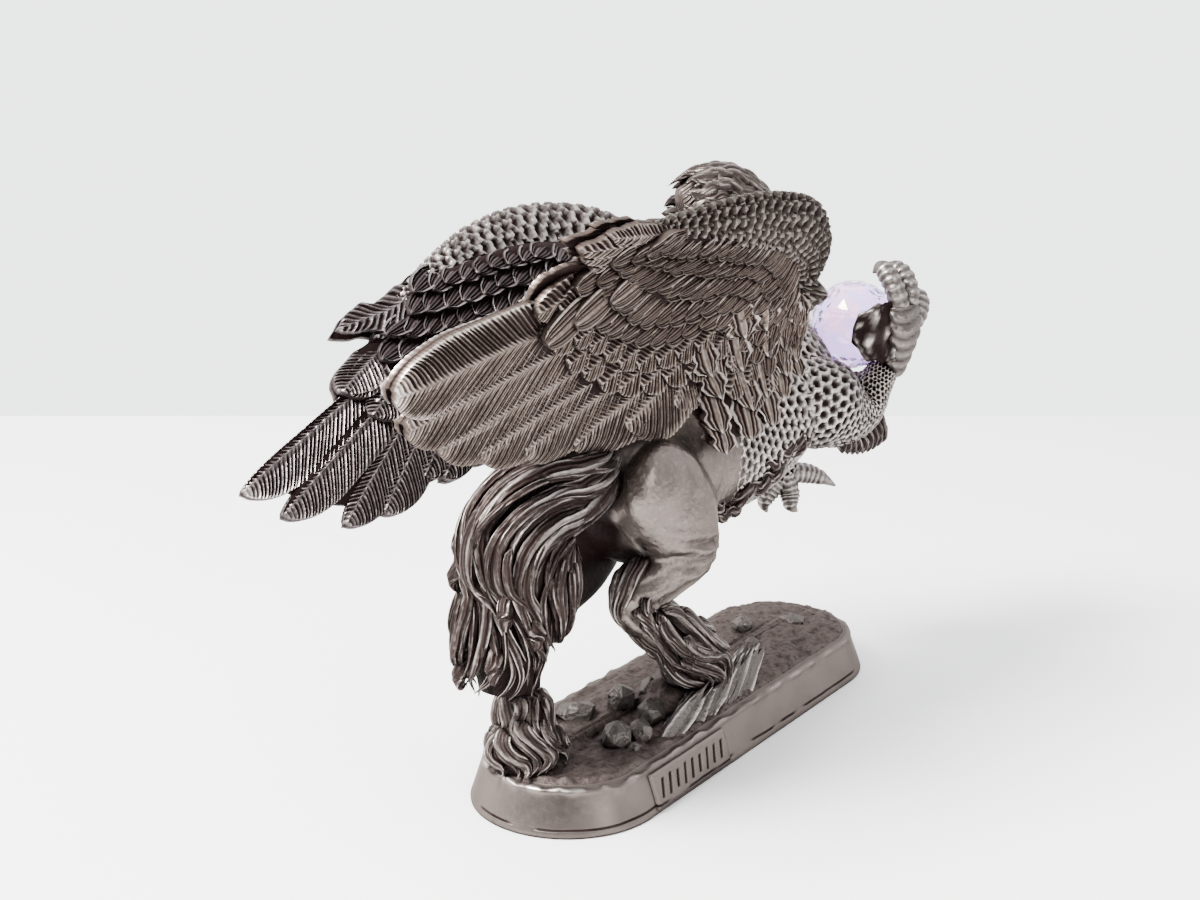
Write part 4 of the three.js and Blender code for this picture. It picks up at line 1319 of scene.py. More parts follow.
@dataclass
class Eagle:
    """The front half: scaled neck and forelegs, head, raised right claw and open left foot."""

    neck: Stations = (
        (-4, 0, 36, 6.6, 6.8),
        (3, 0, 36.1, 7.9, 8.1),
        (9, -0.2, 36.8, 8.4, 8.8),
        (15, -0.3, 39, 8.8, 9.0),
        (22.4, -0.3, 42.6, 8, 7.3),
        (20.4, 0.6, 49, 5.2, 5.7),
        (18.8, 0.2, 55.4, 4.6, 4.8),
        (16.8, -1, 60.8, 4.6, 4.8),
        (12.4, -0.9, 65.2, 4.2, 4.2),
        (10.8, -0.9, 67, 3.6, 3.6),
    )
    right_arm: Stations = (
        (17, -3.6, 41, 5, 6),
        (23, -7, 39.6, 5, 6),
        (26.4, -8.4, 38, 4, 4.6),
        (29.6, -9.5, 38.2, 3, 3.4),
        (31.7, -10.3, 40.8, 2.3, 2.5),
        (33.2, -11.1, 43.2, 1.8, 1.8),
    )
    left_arm: Stations = (
        (17, 3.6, 39.6, 5, 5.6),
        (21.6, 5.4, 36, 4.4, 5),
        (25.4, 4.2, 32.2, 3.2, 3.6),
        (27.2, 2, 29, 2.2, 2.4),
        (28, 0.8, 27, 2, 2.1),
    )
    head_at: tuple = (10.2, -0.8, 67.4)
    gaze: tuple = (0.72, -0.6, -0.34)
    cup_radius: float = 6.95
    # Rows of the head as mm ahead of its middle and above it, half width and half depth.
    skull: Stations = (
        (-7.6, -2.6, 1.6, 1.6),
        (-5.2, -1.3, 3, 2.8),
        (-3, 0, 3.9, 3.5),
        (0.2, 0.4, 4, 3.7),
        (3, 0, 3, 2.9),
        (4.6, -0.5, 1.9, 2),
    )
    beak: Stations = (
        (2.6, -0.4, 2.0, 2.2),
        (5.6, -0.2, 1.4, 1.8),
        (7.4, -0.9, 1.0, 1.3),
        (8.3, -2.2, 0.6, 0.8),
        (8.4, -3.2, 0.3, 0.35),
    )
    jaw: Stations = ((2.4, -2, 1.5, 1), (5, -2.4, 1, 0.7), (6.6, -2.6, 0.4, 0.3))
    # Places along a brow: ahead, to the side and above.
    brow: tuple = ((4.2, 1.5, 1.5), (2.6, 2.6, 2), (0.4, 3.5, 1.9), (-1.8, 3.6, 1.2))
    # Rings of hackles as mm ahead, how many, their length and half width.
    hackles: tuple = (
        (3.6, 11, 5.5, 0.95),
        (1.8, 13, 6.0, 1.05),
        (-0.4, 15, 6.0, 1.1),
        (-2.6, 13, 5.4, 1.15),
        (-4.4, 9, 4.0, 1.2),
    )
    # The outline of the head from above, which the hackles lie on: mm ahead and half width.
    crown: tuple = ((-10, -7.6, -5, -3, 0.2, 3, 4.6), (1.8, 3, 3.7, 4, 3.95, 3.0, 1.9))
    right_toes: tuple = (
        (
            (32.8, -13.2, 50.4),
            (32.4, -12.8, 53.4),
            (32.6, -11.4, 55.8),
            (33.2, -9.8, 56.8),
            (33.4, -8.6, 55.8),
        ),
        ((34.6, -13.2, 50.6), (35.6, -13, 53.4), (36.2, -11.6, 55.6), (36.2, -9.8, 56.2), (36, -8.8, 54.8)),
        ((36, -13, 48.4), (38.2, -13.2, 50), (40, -12.4, 51.6), (40.4, -10.8, 51.8), (40.2, -9.8, 50.6)),
        ((34, -12, 45), (33.6, -9.8, 41.8), (33.2, -7, 40.6), (32.8, -4.2, 41), (32.6, -2.4, 42.4)),
    )
    # The toes of the open foot, from where they leave it.
    foot: tuple = (27.8, 1, 27.4)
    left_toes: tuple = (
        ((30.6, -0.6, 27), (32.8, -2.2, 26), (34.9, -3.4, 24.5)),
        ((30.8, 2, 26.8), (33.4, 2.6, 25.4), (34.6, 2.8, 22.8)),
        ((28, 0.2, 24.6), (27.8, -0.2, 22.9), (29.3, -0.4, 21.6)),
        ((26.2, 2, 25.4), (25.2, 2.6, 23.4), (26, 2.6, 21.8)),
    )
    # The lower edge of the breast feathers, from the shoulder back to the belly.
    breast: tuple = ((22, -7.6, 38.6), (15, -8.0, 36.4), (9, -7.6, 34), (3, -6.4, 31.6), (-3, -4.8, 29.8))

    def scaled(self, stations: Stations, blank: Blank, count: int, run: float, deep: float) -> Laid:
        """A limb whose skin is a honeycomb of pits.

        Args:
            stations: the limb.
            blank: how finely it is made.
            count: pits round the limb.
            run: pits along it.
            deep: the pits' depth in mm.

        Returns:
            The limb in its place.
        """

        def honeycomb(along: Array, around: Array) -> tuple[Array, Array]:
            """Walls that stand between sunken pits.

            Args:
                along: shares along.
                around: angles round.

            Returns:
                How far out the skin stands in mm, and how hollow it is.
            """
            spots = np.column_stack([np.cos(around) * count, np.sin(around) * count, along * run * 2])
            wander = 0.22 * ripple(spots, 11, 3)
            drift = 0.22 * ripple(spots, 13, 4)
            gap = pits(around / (2 * math.pi) * count + wander * np.sin(np.pi * along), along * run + drift)
            wall = smooth(0.2, 0.5, gap)
            return deep * (wall - 0.6), np.where(wall < 0.7, 1.15 - 1.6 * wall, -0.7)

        return swept(blank, stations, relief=honeycomb, finish=finish_number("scales"))

    def limbs(self) -> list[Laid]:
        """Neck, breast and both forelegs.

        Returns:
            The limbs in their places.
        """
        return [
            self.scaled(self.neck, Blank.round(180, 210), 34, 39, 0.75),
            self.scaled(self.right_arm, Blank.round(120, 100), 23, 22, 0.6),
            self.scaled(self.left_arm, Blank.round(64, 52), 14, 13, 0.6),
        ]

    def head(self) -> list[Laid]:
        """Skull, hooked beak, brows, eyes and the ragged hackles behind.

        Returns:
            The head's parts in their places.
        """
        centre = np.array(self.head_at, float)
        ahead = unit(np.array(self.gaze))
        left = unit(np.cross((0, 0, 1), ahead))
        up = np.cross(ahead, left)

        def at(forward: float, aside: float, above: float) -> Array:
            """A place, given from the head's middle."""
            return centre + ahead * forward + left * aside + up * above

        def row(forward: float, above: float, wide: float, deep: float) -> list[float]:
            """A station, given from the head's middle."""
            return [*at(forward, 0, above), wide, deep]

        skin, hair = finish_number("skin"), finish_number("crest")
        parts = [
            swept(Blank.round(*made), [row(*place) for place in places], left, finish=finish)
            for places, made, finish in [
                (self.skull, (28, 24), hair),
                (self.beak, (20, 22), skin),
                (self.jaw, (14, 12), skin),
            ]
        ]
        small = Blank.round(8, 12)
        for side in (-1, 1):
            brow = [at(forward, side * aside, above) for forward, aside, above in self.brow]
            parts.append(lock(small, brow, 0.8, 0.8, 7, left, skin))
            eye = Blank.round(14, 10)
            points = eye.points * 0.75 + at(2.5, side * 2.5, 0.9)
            parts.append(bare(eye, points, skin))
        rng = np.random.default_rng(71)
        blank = Blank.round(10, 18)
        for ring, (start, count, length, radius) in enumerate(self.hackles):
            for i in range(count):
                turn = ((i + 0.5 * (ring % 2)) / (count - 1) * 2 - 1) * 2.5
                aside, above = math.sin(turn), math.cos(turn)
                reach = length * rng.uniform(0.8, 1.15)
                swing = 0.5 * rng.uniform(-1, 1)
                path = []
                for share in np.linspace(0, 1, 7):
                    back = start - reach * share
                    full = np.interp(back, *self.crown)
                    lift = full * (0.94 + 0.02 * ring) + 0.3 * math.sin(share * 3)
                    drop = -0.14 * max(0.0, -back - 2) ** 1.5
                    sway = 0.35 * math.sin(share * 6 + i) + swing * share
                    high = above * lift * 0.93 + drop - sway * aside
                    path.append(at(back, aside * lift + sway * above, high))
                crosswise = left * above - up * aside
                parts.append(lock(blank, np.array(path), radius, 0.7, 300 + i + ring * 20, crosswise, hair))
        return parts

    def toe(self, points: Sequence[Sequence[float]], radius: float) -> Laid:
        """A ringed toe that ends in a hooked nail.

        Args:
            points: places along the toe, the last at the nail's point.
            radius: half its width.

        Returns:
            The toe in its place.
        """
        rows = []
        last = len(points) - 1
        for i, at in enumerate(points):
            size = radius * (0.1 if i == last else 0.66 if i == last - 1 else 1.0)
            rows.append([*at, size, size])

        def ringed(along: Array, around: Array) -> tuple[Array, Array]:
            """Rings round the toe as far as its nail.

            Args:
                along: shares along.
                around: angles round; not used.

            Returns:
                How far out the skin stands in mm, and how hollow it is.
            """
            skin = 1 - smooth(0.62, 0.7, along)
            ring = np.abs(np.sin(along * 33)) ** 0.8
            out = (0.24 * ring - 0.14) * skin + 0.1 * bump(along - 0.66, 0.04)
            return out, (0.65 - 0.85 * ring) * skin - 0.15

        return swept(Blank.round(16, 44), rows, relief=ringed, finish=finish_number("scales"))

    def claws(self) -> list[Laid]:
        """The raised right claw round the ball, and the open left foot.

        Returns:
            Palm, shell and toes in their places.
        """
        palm = [
            (34.4, -11.2, 42.6, 1.9, 1.9),
            (34, -12.6, 45.6, 2.5, 1.8),
            (33.8, -13.4, 48.8, 3.5, 1.8),
            (34, -13, 52, 3.4, 1.5),
        ]

        def wrinkled(along: Array, around: Array) -> tuple[Array, Array]:
            """Folds across the palm."""
            fold = np.abs(np.sin(along * 20 + 0.8 * np.sin(around * 2)))
            return 0.26 * fold - 0.12, 0.95 * (1 - fold) ** 1.5 - 0.1

        def lumpy_and_shaded(along: Array, around: Array) -> tuple[Array, Array]:
            """A lumpy shell, black in its hollows and over most of it, as painted shade between the claw and
            the ball.
            """
            fold = np.sin(along * 17 + 2 * np.sin(around * 3)) * np.cos(around * 3 + along * 7)
            return 0.35 * fold, 1 - 1.5 * smooth(0.15, 0.8, fold)

        ball = np.array(BALL_CENTRE)
        ways = [(0.05, -1, -0.1), (-0.3, -0.95, 0), (-0.62, -0.78, 0.05), (-0.88, -0.45, 0.14)]
        heights = (3.6, 4.2, 3.9, 1.6)
        # The shell hugs the ball and is mostly painted black, as the shade inside the claw's cup.
        cup = [[*(ball + self.cup_radius * unit(way)), high, 0.55] for way, high in zip(ways, heights)]
        scaly = finish_number("scales")
        parts = [
            swept(Blank.round(26, 36), palm, (1, 0, 0), wrinkled, finish=scaly),
            swept(Blank.round(24, 30), cup, (0, 0, 1), lumpy_and_shaded, finish=scaly),
        ]
        parts += [self.toe(points, 1.35) for points in self.right_toes]
        parts += [self.toe((self.foot, *points), 1.4) for points in self.left_toes]
        return parts

    def fringe(self) -> list[Laid]:
        """Ragged breast feathers under the belly, round the shoulder and at the elbow.

        Returns:
            The feathers in their places.
        """
        rng = np.random.default_rng(81)
        blank = Blank.round(10, 16)
        parts = []
        hair = finish_number("hair")
        for y, count in [(-2.6, 9), (0, 8), (2.6, 8)]:
            for i in range(count):
                share = i / (count - 1)
                x, z = 25 - 18 * share, 36.4 - 5.8 * share
                jitter = rng.uniform(-0.5, 0.5, 3)
                path = [
                    (x + jitter[0], y, z - 0.4),
                    (x - 2.2, y - 0.5 + jitter[1], z - 2.2 + 0.6 * share),
                    (x - 4.2, y - 0.5 + jitter[1], z - 3.0 + 0.9 * share),
                    (x - 6, y - 0.4, z - 3.1 + 1.1 * share + 0.4 * jitter[2]),
                ]
                parts.append(lock(blank, np.array(path), 1.5, 0.6, 400 + i, finish=hair))
        edge, pairs = np.array(self.breast), 22
        for i in range(pairs * 2):
            root = spline(edge, np.array([i / 2 / pairs]))[0] + rng.uniform(-0.5, 0.5, 3)
            root += (1.2, -0.2, 1.7) if i % 2 else (0, 0, 0)
            sway = rng.uniform(-0.6, 0.6)
            swings = (-1.1, -0.4, -0.7 + sway), (-2.2, -0.1, -1.0 - sway), (-3.4, 0.3, -1.7 + sway)
            path = [root, *(root + swing for swing in swings)]
            wide = rng.uniform(0.7, 1.1)
            parts.append(lock(blank, np.array(path), wide, 0.8, 450 + i, (0.4, 0.2, -0.8), hair))
        for i in range(9):
            share = i / 8
            root = np.array([23.5 + 8.5 * share, -8.6 - 1.8 * share, 35.4 - 0.9 * math.sin(share * 3)])
            hangs = (0, 0, 1.6), (0.6, -0.7, -0.6), (1.2, -0.8, -1.8), (1.9, -0.5, -3.0)
            path = [root + hang for hang in hangs]
            parts.append(lock(blank, np.array(path), 1.3, 0.7, 500 + i, finish=hair))
        return parts

    def parts(self) -> list[Laid]:
        """All of the eagle but its wings."""
        return [*self.limbs(), *self.head(), *self.claws(), *self.fringe()]


# Wings


# The lines that the feathers run between, each from the wing's outer end to its root: the arm's
# lower edge, the ends of four rows of coverts, and the tips of the quills and tertials.
RIGHT_LINES = (
    ((33, 0.4), (25, 1), (17, 1.8), (10.8, 3.2), (7, 5.6), (4.2, 8.4), (2, 11), (0.4, 13.2), (-1.8, 15)),
    ((39.6, 1.8), (33, 3), (25.6, 4.7), (18.4, 5.5), (13, 6.4), (9.4, 9), (6, 12.6), (3, 15.4), (-0.8, 17)),
    (
        (43, 3.8), (37.6, 7.2), (31, 10.4), (24, 11.4), (18.6, 10.2),
        (14.6, 10.8), (9.8, 13.6), (5.4, 17), (1.2, 18.8),
    ),
    (
        (46, 6), (41.4, 10.6), (35, 13.8), (27.4, 15.7), (21.6, 15),
        (17.2, 14), (12.4, 16.4), (7.6, 19.6), (3.6, 20.8),
    ),
    (
        (50, 8), (46.2, 12.4), (40.2, 16), (33.6, 19), (27, 19.9),
        (21.8, 18.8), (16.4, 19.6), (10.6, 22.6), (6, 22.6),
    ),
    (
        (69.4, 12.8), (66.4, 18.6), (58.4, 22.9), (48.6, 25.6), (38.6, 26.4),
        (28.4, 24.4), (19.8, 22.8), (14.2, 26.8), (8.4, 25.6),
    ),
)
LEFT_LINES = (
    (
        (33, 0.4), (26, 1.6), (18, 2.2), (11.6, 3.4), (7.4, 5.8),
        (4.4, 8.6), (2, 11.4), (0.4, 13.6), (-1.8, 15.4),
    ),
    (
        (39.4, 1.9), (34, 4.5), (27.4, 5.7), (20.4, 7), (14.2, 8.4),
        (10, 10.8), (6.4, 13.6), (3.2, 16), (-0.8, 17.4),
    ),
    ((43, 3.8), (37.4, 6.4), (30.6, 8), (24, 9.3), (17.8, 10.8), (13, 13.2), (9, 16), (5.2, 18.2), (1, 19.4)),
    (
        (46.4, 5.8), (41, 8.4), (34.4, 10.2), (27.2, 11.9), (20.8, 13.6),
        (15.6, 16), (11, 18.6), (6.8, 20.6), (3.2, 21.2),
    ),
    (
        (51.2, 8.4), (47.4, 11.8), (40.6, 14), (33, 15.8), (26, 17.4),
        (19.6, 19.4), (13.6, 21.6), (9, 23), (5.6, 22.6),
    ),
    (
        (69, 12.8), (65.6, 18.8), (59.2, 23.2), (51.6, 24.3), (44, 23.6),
        (34, 24.4), (24, 24.6), (15, 25.8), (9, 25.2),
    ),
)

# Quills as back and down of the root, back and down of the tip, half width and skew. The last two
# of the left wing are the long coverts that lie over the roots of its first quills.
RIGHT_QUILLS = (
    (38.5, 10.2, 69.8, 14.8, 4.7, 0.0),
    (32, 12.2, 66.6, 19.2, 4.2, 0.2),
    (31, 15.6, 60.4, 22.8, 3.9, 0.2),
    (27, 16.6, 53.6, 24.9, 3.8, 0.2),
    (23, 16.8, 46, 26.1, 3.9, 0.15),
    (18.6, 15.8, 37.6, 26.6, 4.1, 0.1),
    (14.6, 13.6, 29.8, 24.8, 4.0, 0.1),
    (13, 13.4, 22.4, 22.8, 3.0, 0.0),
)
LEFT_QUILLS = (
    (42, 6.6, 69, 14.2, 2.5, 0.6),
    (41, 8.6, 66, 18.8, 2.5, 0.55),
    (40, 10.6, 59.6, 23.3, 2.5, 0.5),
    (38, 11.4, 54.4, 24.3, 2.5, 0.5),
    (35, 12.4, 47.4, 22.8, 2.4, 0.4),
    (34, 14.2, 45.2, 23.8, 2.2, 0.4),
    (30, 14.6, 40.8, 23.2, 2.4, 0.4),
    (25, 15, 35, 23.8, 2.5, 0.3),
    (20, 15.5, 28.8, 24, 2.6, 0.3),
    (15, 16, 22.4, 24.2, 2.6, 0.3),
    (41.4, 8.2, 50.6, 12.8, 2.5, 0.2),
    (43, 4.4, 52.2, 8.9, 2.7, 0.2),
)
# Rows of coverts as level, how many, and whether their lines run out from a shaft.
RIGHT_ROWS = (
    (4, 13, True),
    (3.4, 14, True),
    (2.8, 16, False),
    (2.2, 17, False),
    (1.6, 19, False),
    (1.1, 20, False),
    (0.6, 21, False),
)
LEFT_ROWS = ((4, 15, True), (3, 17, False), (2, 17, False), (1.1, 16, False), (0.5, 17, False))
# Shells as root, tip and half width.
RIGHT_SHELLS = (
    ((40.4, 7.6), (48.6, 11.6), 2.5),
    ((36.6, 6.6), (44.6, 9.8), 2.4),
    ((32, 4.6), (39.4, 7.8), 2.1),
)
# The feathers at the end of the arm as root, tip, half width and how proud the tip is.
RIGHT_ALULA = (
    ((29, 3.4), (42, 4.4), 1.5, 0.8),
    ((30, 2.8), (44.6, 3.4), 1.5, 1.0),
    ((30.6, 1.8), (46.8, 2.0), 1.5, 1.2),
    ((31, 0.8), (48.4, 0.6), 1.5, 1.4),
    ((33, 0), (44.4, -0.8), 1.1, 1.5),
)
# Columns of hanging feathers as places down the column and half width.
TERTIALS = (
    (((17.8, 15.5), (16.6, 20), (16.8, 27.2)), 2.1),
    (((13.2, 10.5), (10.8, 17), (10.8, 26.4)), 2.3),
    (((9.6, 8.4), (6.4, 16), (6.8, 25.4)), 2.3),
    (((6.2, 8.6), (2.6, 15.4), (2.8, 23)), 2.1),
    (((2.8, 10.4), (-0.4, 15.4), (-0.4, 21)), 1.8),
)


@dataclass
class Wing:
    """One wing, laid out on its own sheet: mm back from the wrist and down from its upper edge."""

    name: str
    outward: float
    arch: float
    chord: float
    wrist: tuple
    upper: tuple
    tip: tuple
    lines: tuple
    quills: tuple
    rows: tuple
    shells: tuple
    feathered: str
    near_face: float
    cup: float
    scale_rows: float
    scale_run: float
    scale_slant: float = 0.0
    banded: str = "scales"
    arm: tuple = (
        (38, 1.6, 1.4, 0),
        (31, 1.3, 2.7, 0),
        (22, 0.6, 3.5, 0),
        (13, 0.6, 3.9, 0),
        (4.2, 2.9, 4.3, 0),
        (0.3, 8, 4.2, 0.4),
        (2, 14.5, 3.8, 1.2),
        (5.6, 20.5, 3.7, 2.4),
        (9, 24.6, 3, 4),
    )
    thickness: float = 1.5
    barb_height: float = 0.2
    barb_pitch: float = 0.66
    arm_thickness: float = 4.6
    alula_shapes: tuple = (((30, 3), (44.4, 3.4), 2.0, 0.9), ((31, 1.0), (48.2, 0.6), 2.1, 1.3))
    shine: float = 0.8
    bow: float = 2.2
    flare: float = 6.5
    web_share: float = 0.97

    def __post_init__(self) -> None:
        """Sets the sheet in space."""
        self.origin = np.array(self.wrist, float)
        self.back = unit(np.array(self.upper) - self.origin)
        down = np.array(self.tip) - self.origin
        self.down = unit(down - self.back * (down @ self.back))
        out = np.cross(self.back, self.down)
        self.out = out * np.sign(out[1]) * self.outward

    def on(self, back: Array, down: Array, proud: Array) -> Array:
        """Places on the wing's sheet, which bows in behind and flares out over the beast's side.

        Args:
            back: mm back from the wrist.
            down: mm down from the upper edge.
            proud: mm out from the sheet.

        Returns:
            The places in space.
        """
        back, down = np.asarray(back, float), np.asarray(down, float)
        lift = self.arch * np.sin(np.pi * np.clip((back - 2) / 38, 0, 1)) * (1 - smooth(5, 26, down))
        chord = 1 + (self.chord - 1) * smooth(12, 44, back)
        narrowed = np.where(down > 0, down * chord, down)
        middle = np.sin(np.pi * np.clip(back / 66, 0, 1)) * np.sin(np.pi * np.clip(down / 26, 0, 1))
        flared = smooth(15, 29, down) * (1 - smooth(16, 36, back))
        return (
            self.origin
            + self.back * back[:, None]
            + self.down * (narrowed - lift)[:, None]
            + self.out * (self.flare * flared - self.bow * middle + proud)[:, None]
        )

    def line(self, level: float) -> Array:
        """Places along a line between the arm, level 0, and the quills' ends, level 5.

        Args:
            level: which line, where a share falls between two.

        Returns:
            Places on the sheet, from the outer end to the root.
        """
        share = np.linspace(0, 1, 60)
        low = min(int(level), 4)
        near, far = (spline(np.array(self.lines[k]), share) for k in (low, low + 1))
        return near + (far - near) * (level - low)

    def half(self, row: float) -> float:
        """Half the wing's thickness at a row of feathers, 0 beside the arm and 4 at the quills."""
        return self.thickness / 2 * (1 + 0.42 * (4 - row))

    def core(self) -> Laid:
        """The web of metal that the feathers are carved on, painted black all over as shade in the gaps
        between them.

        Returns:
            The web in its place.
        """
        blank = Blank.leaf(40, 30, False)
        share = 1 - self.web_share * (1 - blank.points[:, 0]) / 2
        run = (blank.points[:, 1] + 1) / 2 * 5 * self.web_share
        rows = np.stack([spline(np.array(line), share) for line in self.lines])
        index = np.minimum(run.astype(int), 4)
        part = (run - index)[:, None]
        every = np.arange(len(share))
        at = rows[index, every] * (1 - part) + rows[index + 1, every] * part
        face = np.where(blank.points[:, 2] > -0.5, 1.0, -1.0)
        half = np.interp(run, [0, 1, 2, 3, 4, 5], [1.7, 1.4, 1.1, 0.8, 0.45, 0.3])
        points = self.on(at[:, 0], at[:, 1], face * half)
        # Hollow 1 paints the whole web black, as shade between the feathers.
        return bare(blank, points, finish_number(self.feathered), 1.0)

    def feather(
        self,
        blank: Blank,
        root: Sequence[float],
        tip: Sequence[float],
        half_width: float,
        low: float,
        high: float,
        face: float,
        seed: int,
        point: float = 0.3,
        cup: float = 0.0,
        bend: float = 0.0,
        ragged: float = 0.0,
        sharp: float = 0.5,
        skew: float = 0.0,
        strokes: bool = False,
        carved: float = 1.0,
        rimmed: float = 1.0,
    ) -> Laid:
        """Lays one feather on the wing.

        Args:
            blank: a leaf.
            root, tip: places on the sheet.
            half_width: half the feather's width.
            low, high: how proud of the sheet it lies at its root and tip.
            face: 1 on the wing's outer face, -1 on its inner.
            seed: its own unevenness.
            point: the share of its length over which it rounds off.
            cup: how far its middle sinks between shaft and rim.
            bend: how far it sweeps sideways.
            ragged: how uneven its edge is.
            sharp: 0.5 for a round tip, and more for a pointed one.
            skew: how much narrower its upper half is than its lower.
            strokes: whether its lines run lengthwise instead of out from the shaft.
            carved: how deep its lines are.
            rimmed: how much its rim stands up and shines.

        Returns:
            The feather in its place.
        """
        rng = np.random.default_rng(seed)
        root, tip = np.asarray(root, float), np.asarray(tip, float)
        u, v = blank.points[:, 0], (blank.points[:, 1] + 1) / 2
        top = blank.points[:, 2] > -0.5
        row = np.round(v * blank.rows)
        column = np.round((u + 1) / 2 * blank.columns)
        way = tip - root
        length = float(np.linalg.norm(way))
        way = way / length
        aside = np.array([-way[1], way[0]])
        reach = np.abs(u) * (1 + skew * np.sign(u))
        # Each row of the leaf is one barb or the groove beside it, and leans out towards the tip.
        lean = min(0.9, 4.6 * half_width / length) * (not strokes)
        uneven = 0.01 * np.sin(v * 37 + seed)
        v = np.clip(v + lean * reach * v * (1 - v) + uneven * v * (1 - v), 0, 1)
        past = np.clip(v - (1 - point), 0, 1) / point
        rounding = np.clip(1 - past**2 * 0.99, 0, 1) ** sharp
        narrow = 0.45 if strokes else 0.72
        outline = (narrow + (1 - narrow) * smooth(0, 0.45, v)) * rounding
        torn = np.sin(v * 15 + seed + u) + 0.5 * np.sin(v * 37 + 2 * seed)
        outline *= 1 + ragged * torn * smooth(0.2, 0.6, v) * np.abs(u)
        across = np.sign(u) * reach * half_width * outline
        along = v * length
        sweep = bend * np.sin(np.pi * v * 0.5) ** 2
        at = root + way * along[:, None] + aside * (across + sweep)[:, None]
        rim = bump(1 - np.abs(u), 0.14) + bump(1 - v, 0.05) * (1 - bump(1 - np.abs(u), 0.2))
        shaft = bump(across, 0.17) * (1 - 0.4 * v) * (0.5 if strokes else 1.0)
        web = smooth(0.06, 0.2, np.abs(u)) * (1 - 0.7 * rim)
        count = column if strokes else row
        barb = np.where(count % 2 == 1, 1.0, -1.0) * web * (0.72 + 0.28 * np.sin(count * 1.7 + seed)) * carved
        camber = 0.34 * (1 - u**2) * (1 - cup) - cup * 0.55 * (1 - u**2) * (1 - bump(u, 0.2))
        tilt = 0.22 * u * rng.uniform(0.6, 1.3)
        proud = low + (high - low) * smooth(0, 0.9, v) + camber
        proud += 0.22 * shaft + 0.2 * rim * (0.4 + cup) * rimmed
        proud += tilt + self.barb_height * barb * (0.7 if strokes else 1.0)
        proud = np.where(top, proud, np.minimum(proud - 0.75, low + 0.3))
        points = self.on(at[:, 0], at[:, 1], face * proud)
        # Near its root a feather is darkened as the painted shadow of the row above, and its underside is
        # painted black as shade under it.
        hollow = 0.35 * smooth(0.45, 0.0, v) + 0.55 * cup * (1 - rim) * (1 - shaft)
        hollow += np.where(barb < 0, -2.4 * barb, -0.55 * barb) - 0.25 * shaft - 0.75 * rim * rimmed
        hollow = np.where(top, hollow, 1.0)
        lay = np.column_stack([across, along, np.full(len(u), rng.uniform())])
        return Laid(blank, points, np.clip(hollow, -1, 2), lay, finish_number(self.feathered), True)

    def quill_feathers(self, face: float) -> list[Laid]:
        """The long flight feathers of one face.

        Args:
            face: 1 for the wing's outer face, -1 for its inner.

        Returns:
            The feathers in their places.
        """
        fine = face == self.near_face
        rng = np.random.default_rng(5)
        parts = []
        for i, (b0, d0, b1, d1, half, skew) in enumerate(self.quills):
            length = math.hypot(b1 - b0, d1 - d0)
            pitch = self.barb_pitch * (1 if fine else 1.7)
            blank = Blank.leaf(12 if fine else 8, 2 * round(length / pitch))
            order = i if self.outward > 0 else len(self.quills) - i
            # The first quill's rim stands up more and is painted bright along the wing's upper edge, a
            # painted highlight.
            parts.append(
                self.feather(
                    blank, (b0, d0), (b1, d1), half * (1 if fine else 0.92), 0.1, 0.3 + 0.07 * order, face,
                    seed=600 + i, point=0.26, cup=0.1, bend=rng.uniform(-0.9, 0.1), sharp=0.55, skew=skew,
                    rimmed=1.1 if i == 0 else 0.35,
                )
            )
        return parts

    def covert_feathers(self, face: float) -> list[Laid]:
        """The rows of coverts of one face, longest first.

        Args:
            face: 1 for the wing's outer face, -1 for its inner.

        Returns:
            The feathers in their places.
        """
        fine = face == self.near_face
        parts = []
        rng = np.random.default_rng(9)
        for index, (level, count, barbed) in enumerate(self.rows if fine else self.rows[::2]):
            blank = Blank.leaf(10, 22) if barbed else Blank.leaf(14 if fine else 8, 9)
            ends = evened(self.line(level), count * 2 + 1)
            above = self.line(max(level - 1, 0))
            run = np.linalg.norm(np.diff(ends, axis=0), axis=1).sum()
            for i in range(count):
                tip = ends[2 * i + index % 2] + rng.uniform(-0.25, 0.25, 2)
                near = np.linalg.norm(above - tip, axis=1).min()
                way = self.way_at(tip)
                length = float(np.clip(near * 1.8, 4.2, 9.5 if level > 3.6 else 6.5))
                half = run / count * 0.62 * (1 if fine else 1.5) * rng.uniform(0.9, 1.12)
                parts.append(
                    self.feather(
                        blank, tip - way * length, tip + way * 0.5, half,
                        self.half(level) - 0.6, self.half(level - 1) + 0.1, face,
                        seed=700 + int(level * 80) + i, point=0.46, cup=self.cup,
                        bend=rng.uniform(-0.3, 0.3), ragged=0.04, strokes=not barbed, rimmed=self.cup + 0.25,
                    )
                )
        return parts

    def shell_feathers(self, face: float) -> list[Laid]:
        """The round smooth feathers at the outer ends of the rows.

        Args:
            face: 1 for the wing's outer face, -1 for its inner.

        Returns:
            The feathers in their places.
        """
        blank = Blank.leaf(16, 16)
        return [
            self.feather(
                blank, root, tip, half, self.half(2.4), self.half(1.2) + 0.7, face,
                seed=860 + i, point=0.5, cup=0.1, strokes=True, carved=0.8, rimmed=0.6,
            )
            for i, (root, tip, half) in enumerate(self.shells)
        ]

    def way_at(self, at: Array) -> Array:
        """The way feathers point near a place on the sheet.

        Args:
            at: the place.

        Returns:
            A way that is one long.
        """
        back, down = at
        angle = math.radians(12 + 16 * float(smooth(0, 24, down)) + 24 * float(smooth(26, 8, back)))
        angle += math.radians(44) * float(smooth(11, 1, back))
        return np.array([math.cos(angle), math.sin(angle)])

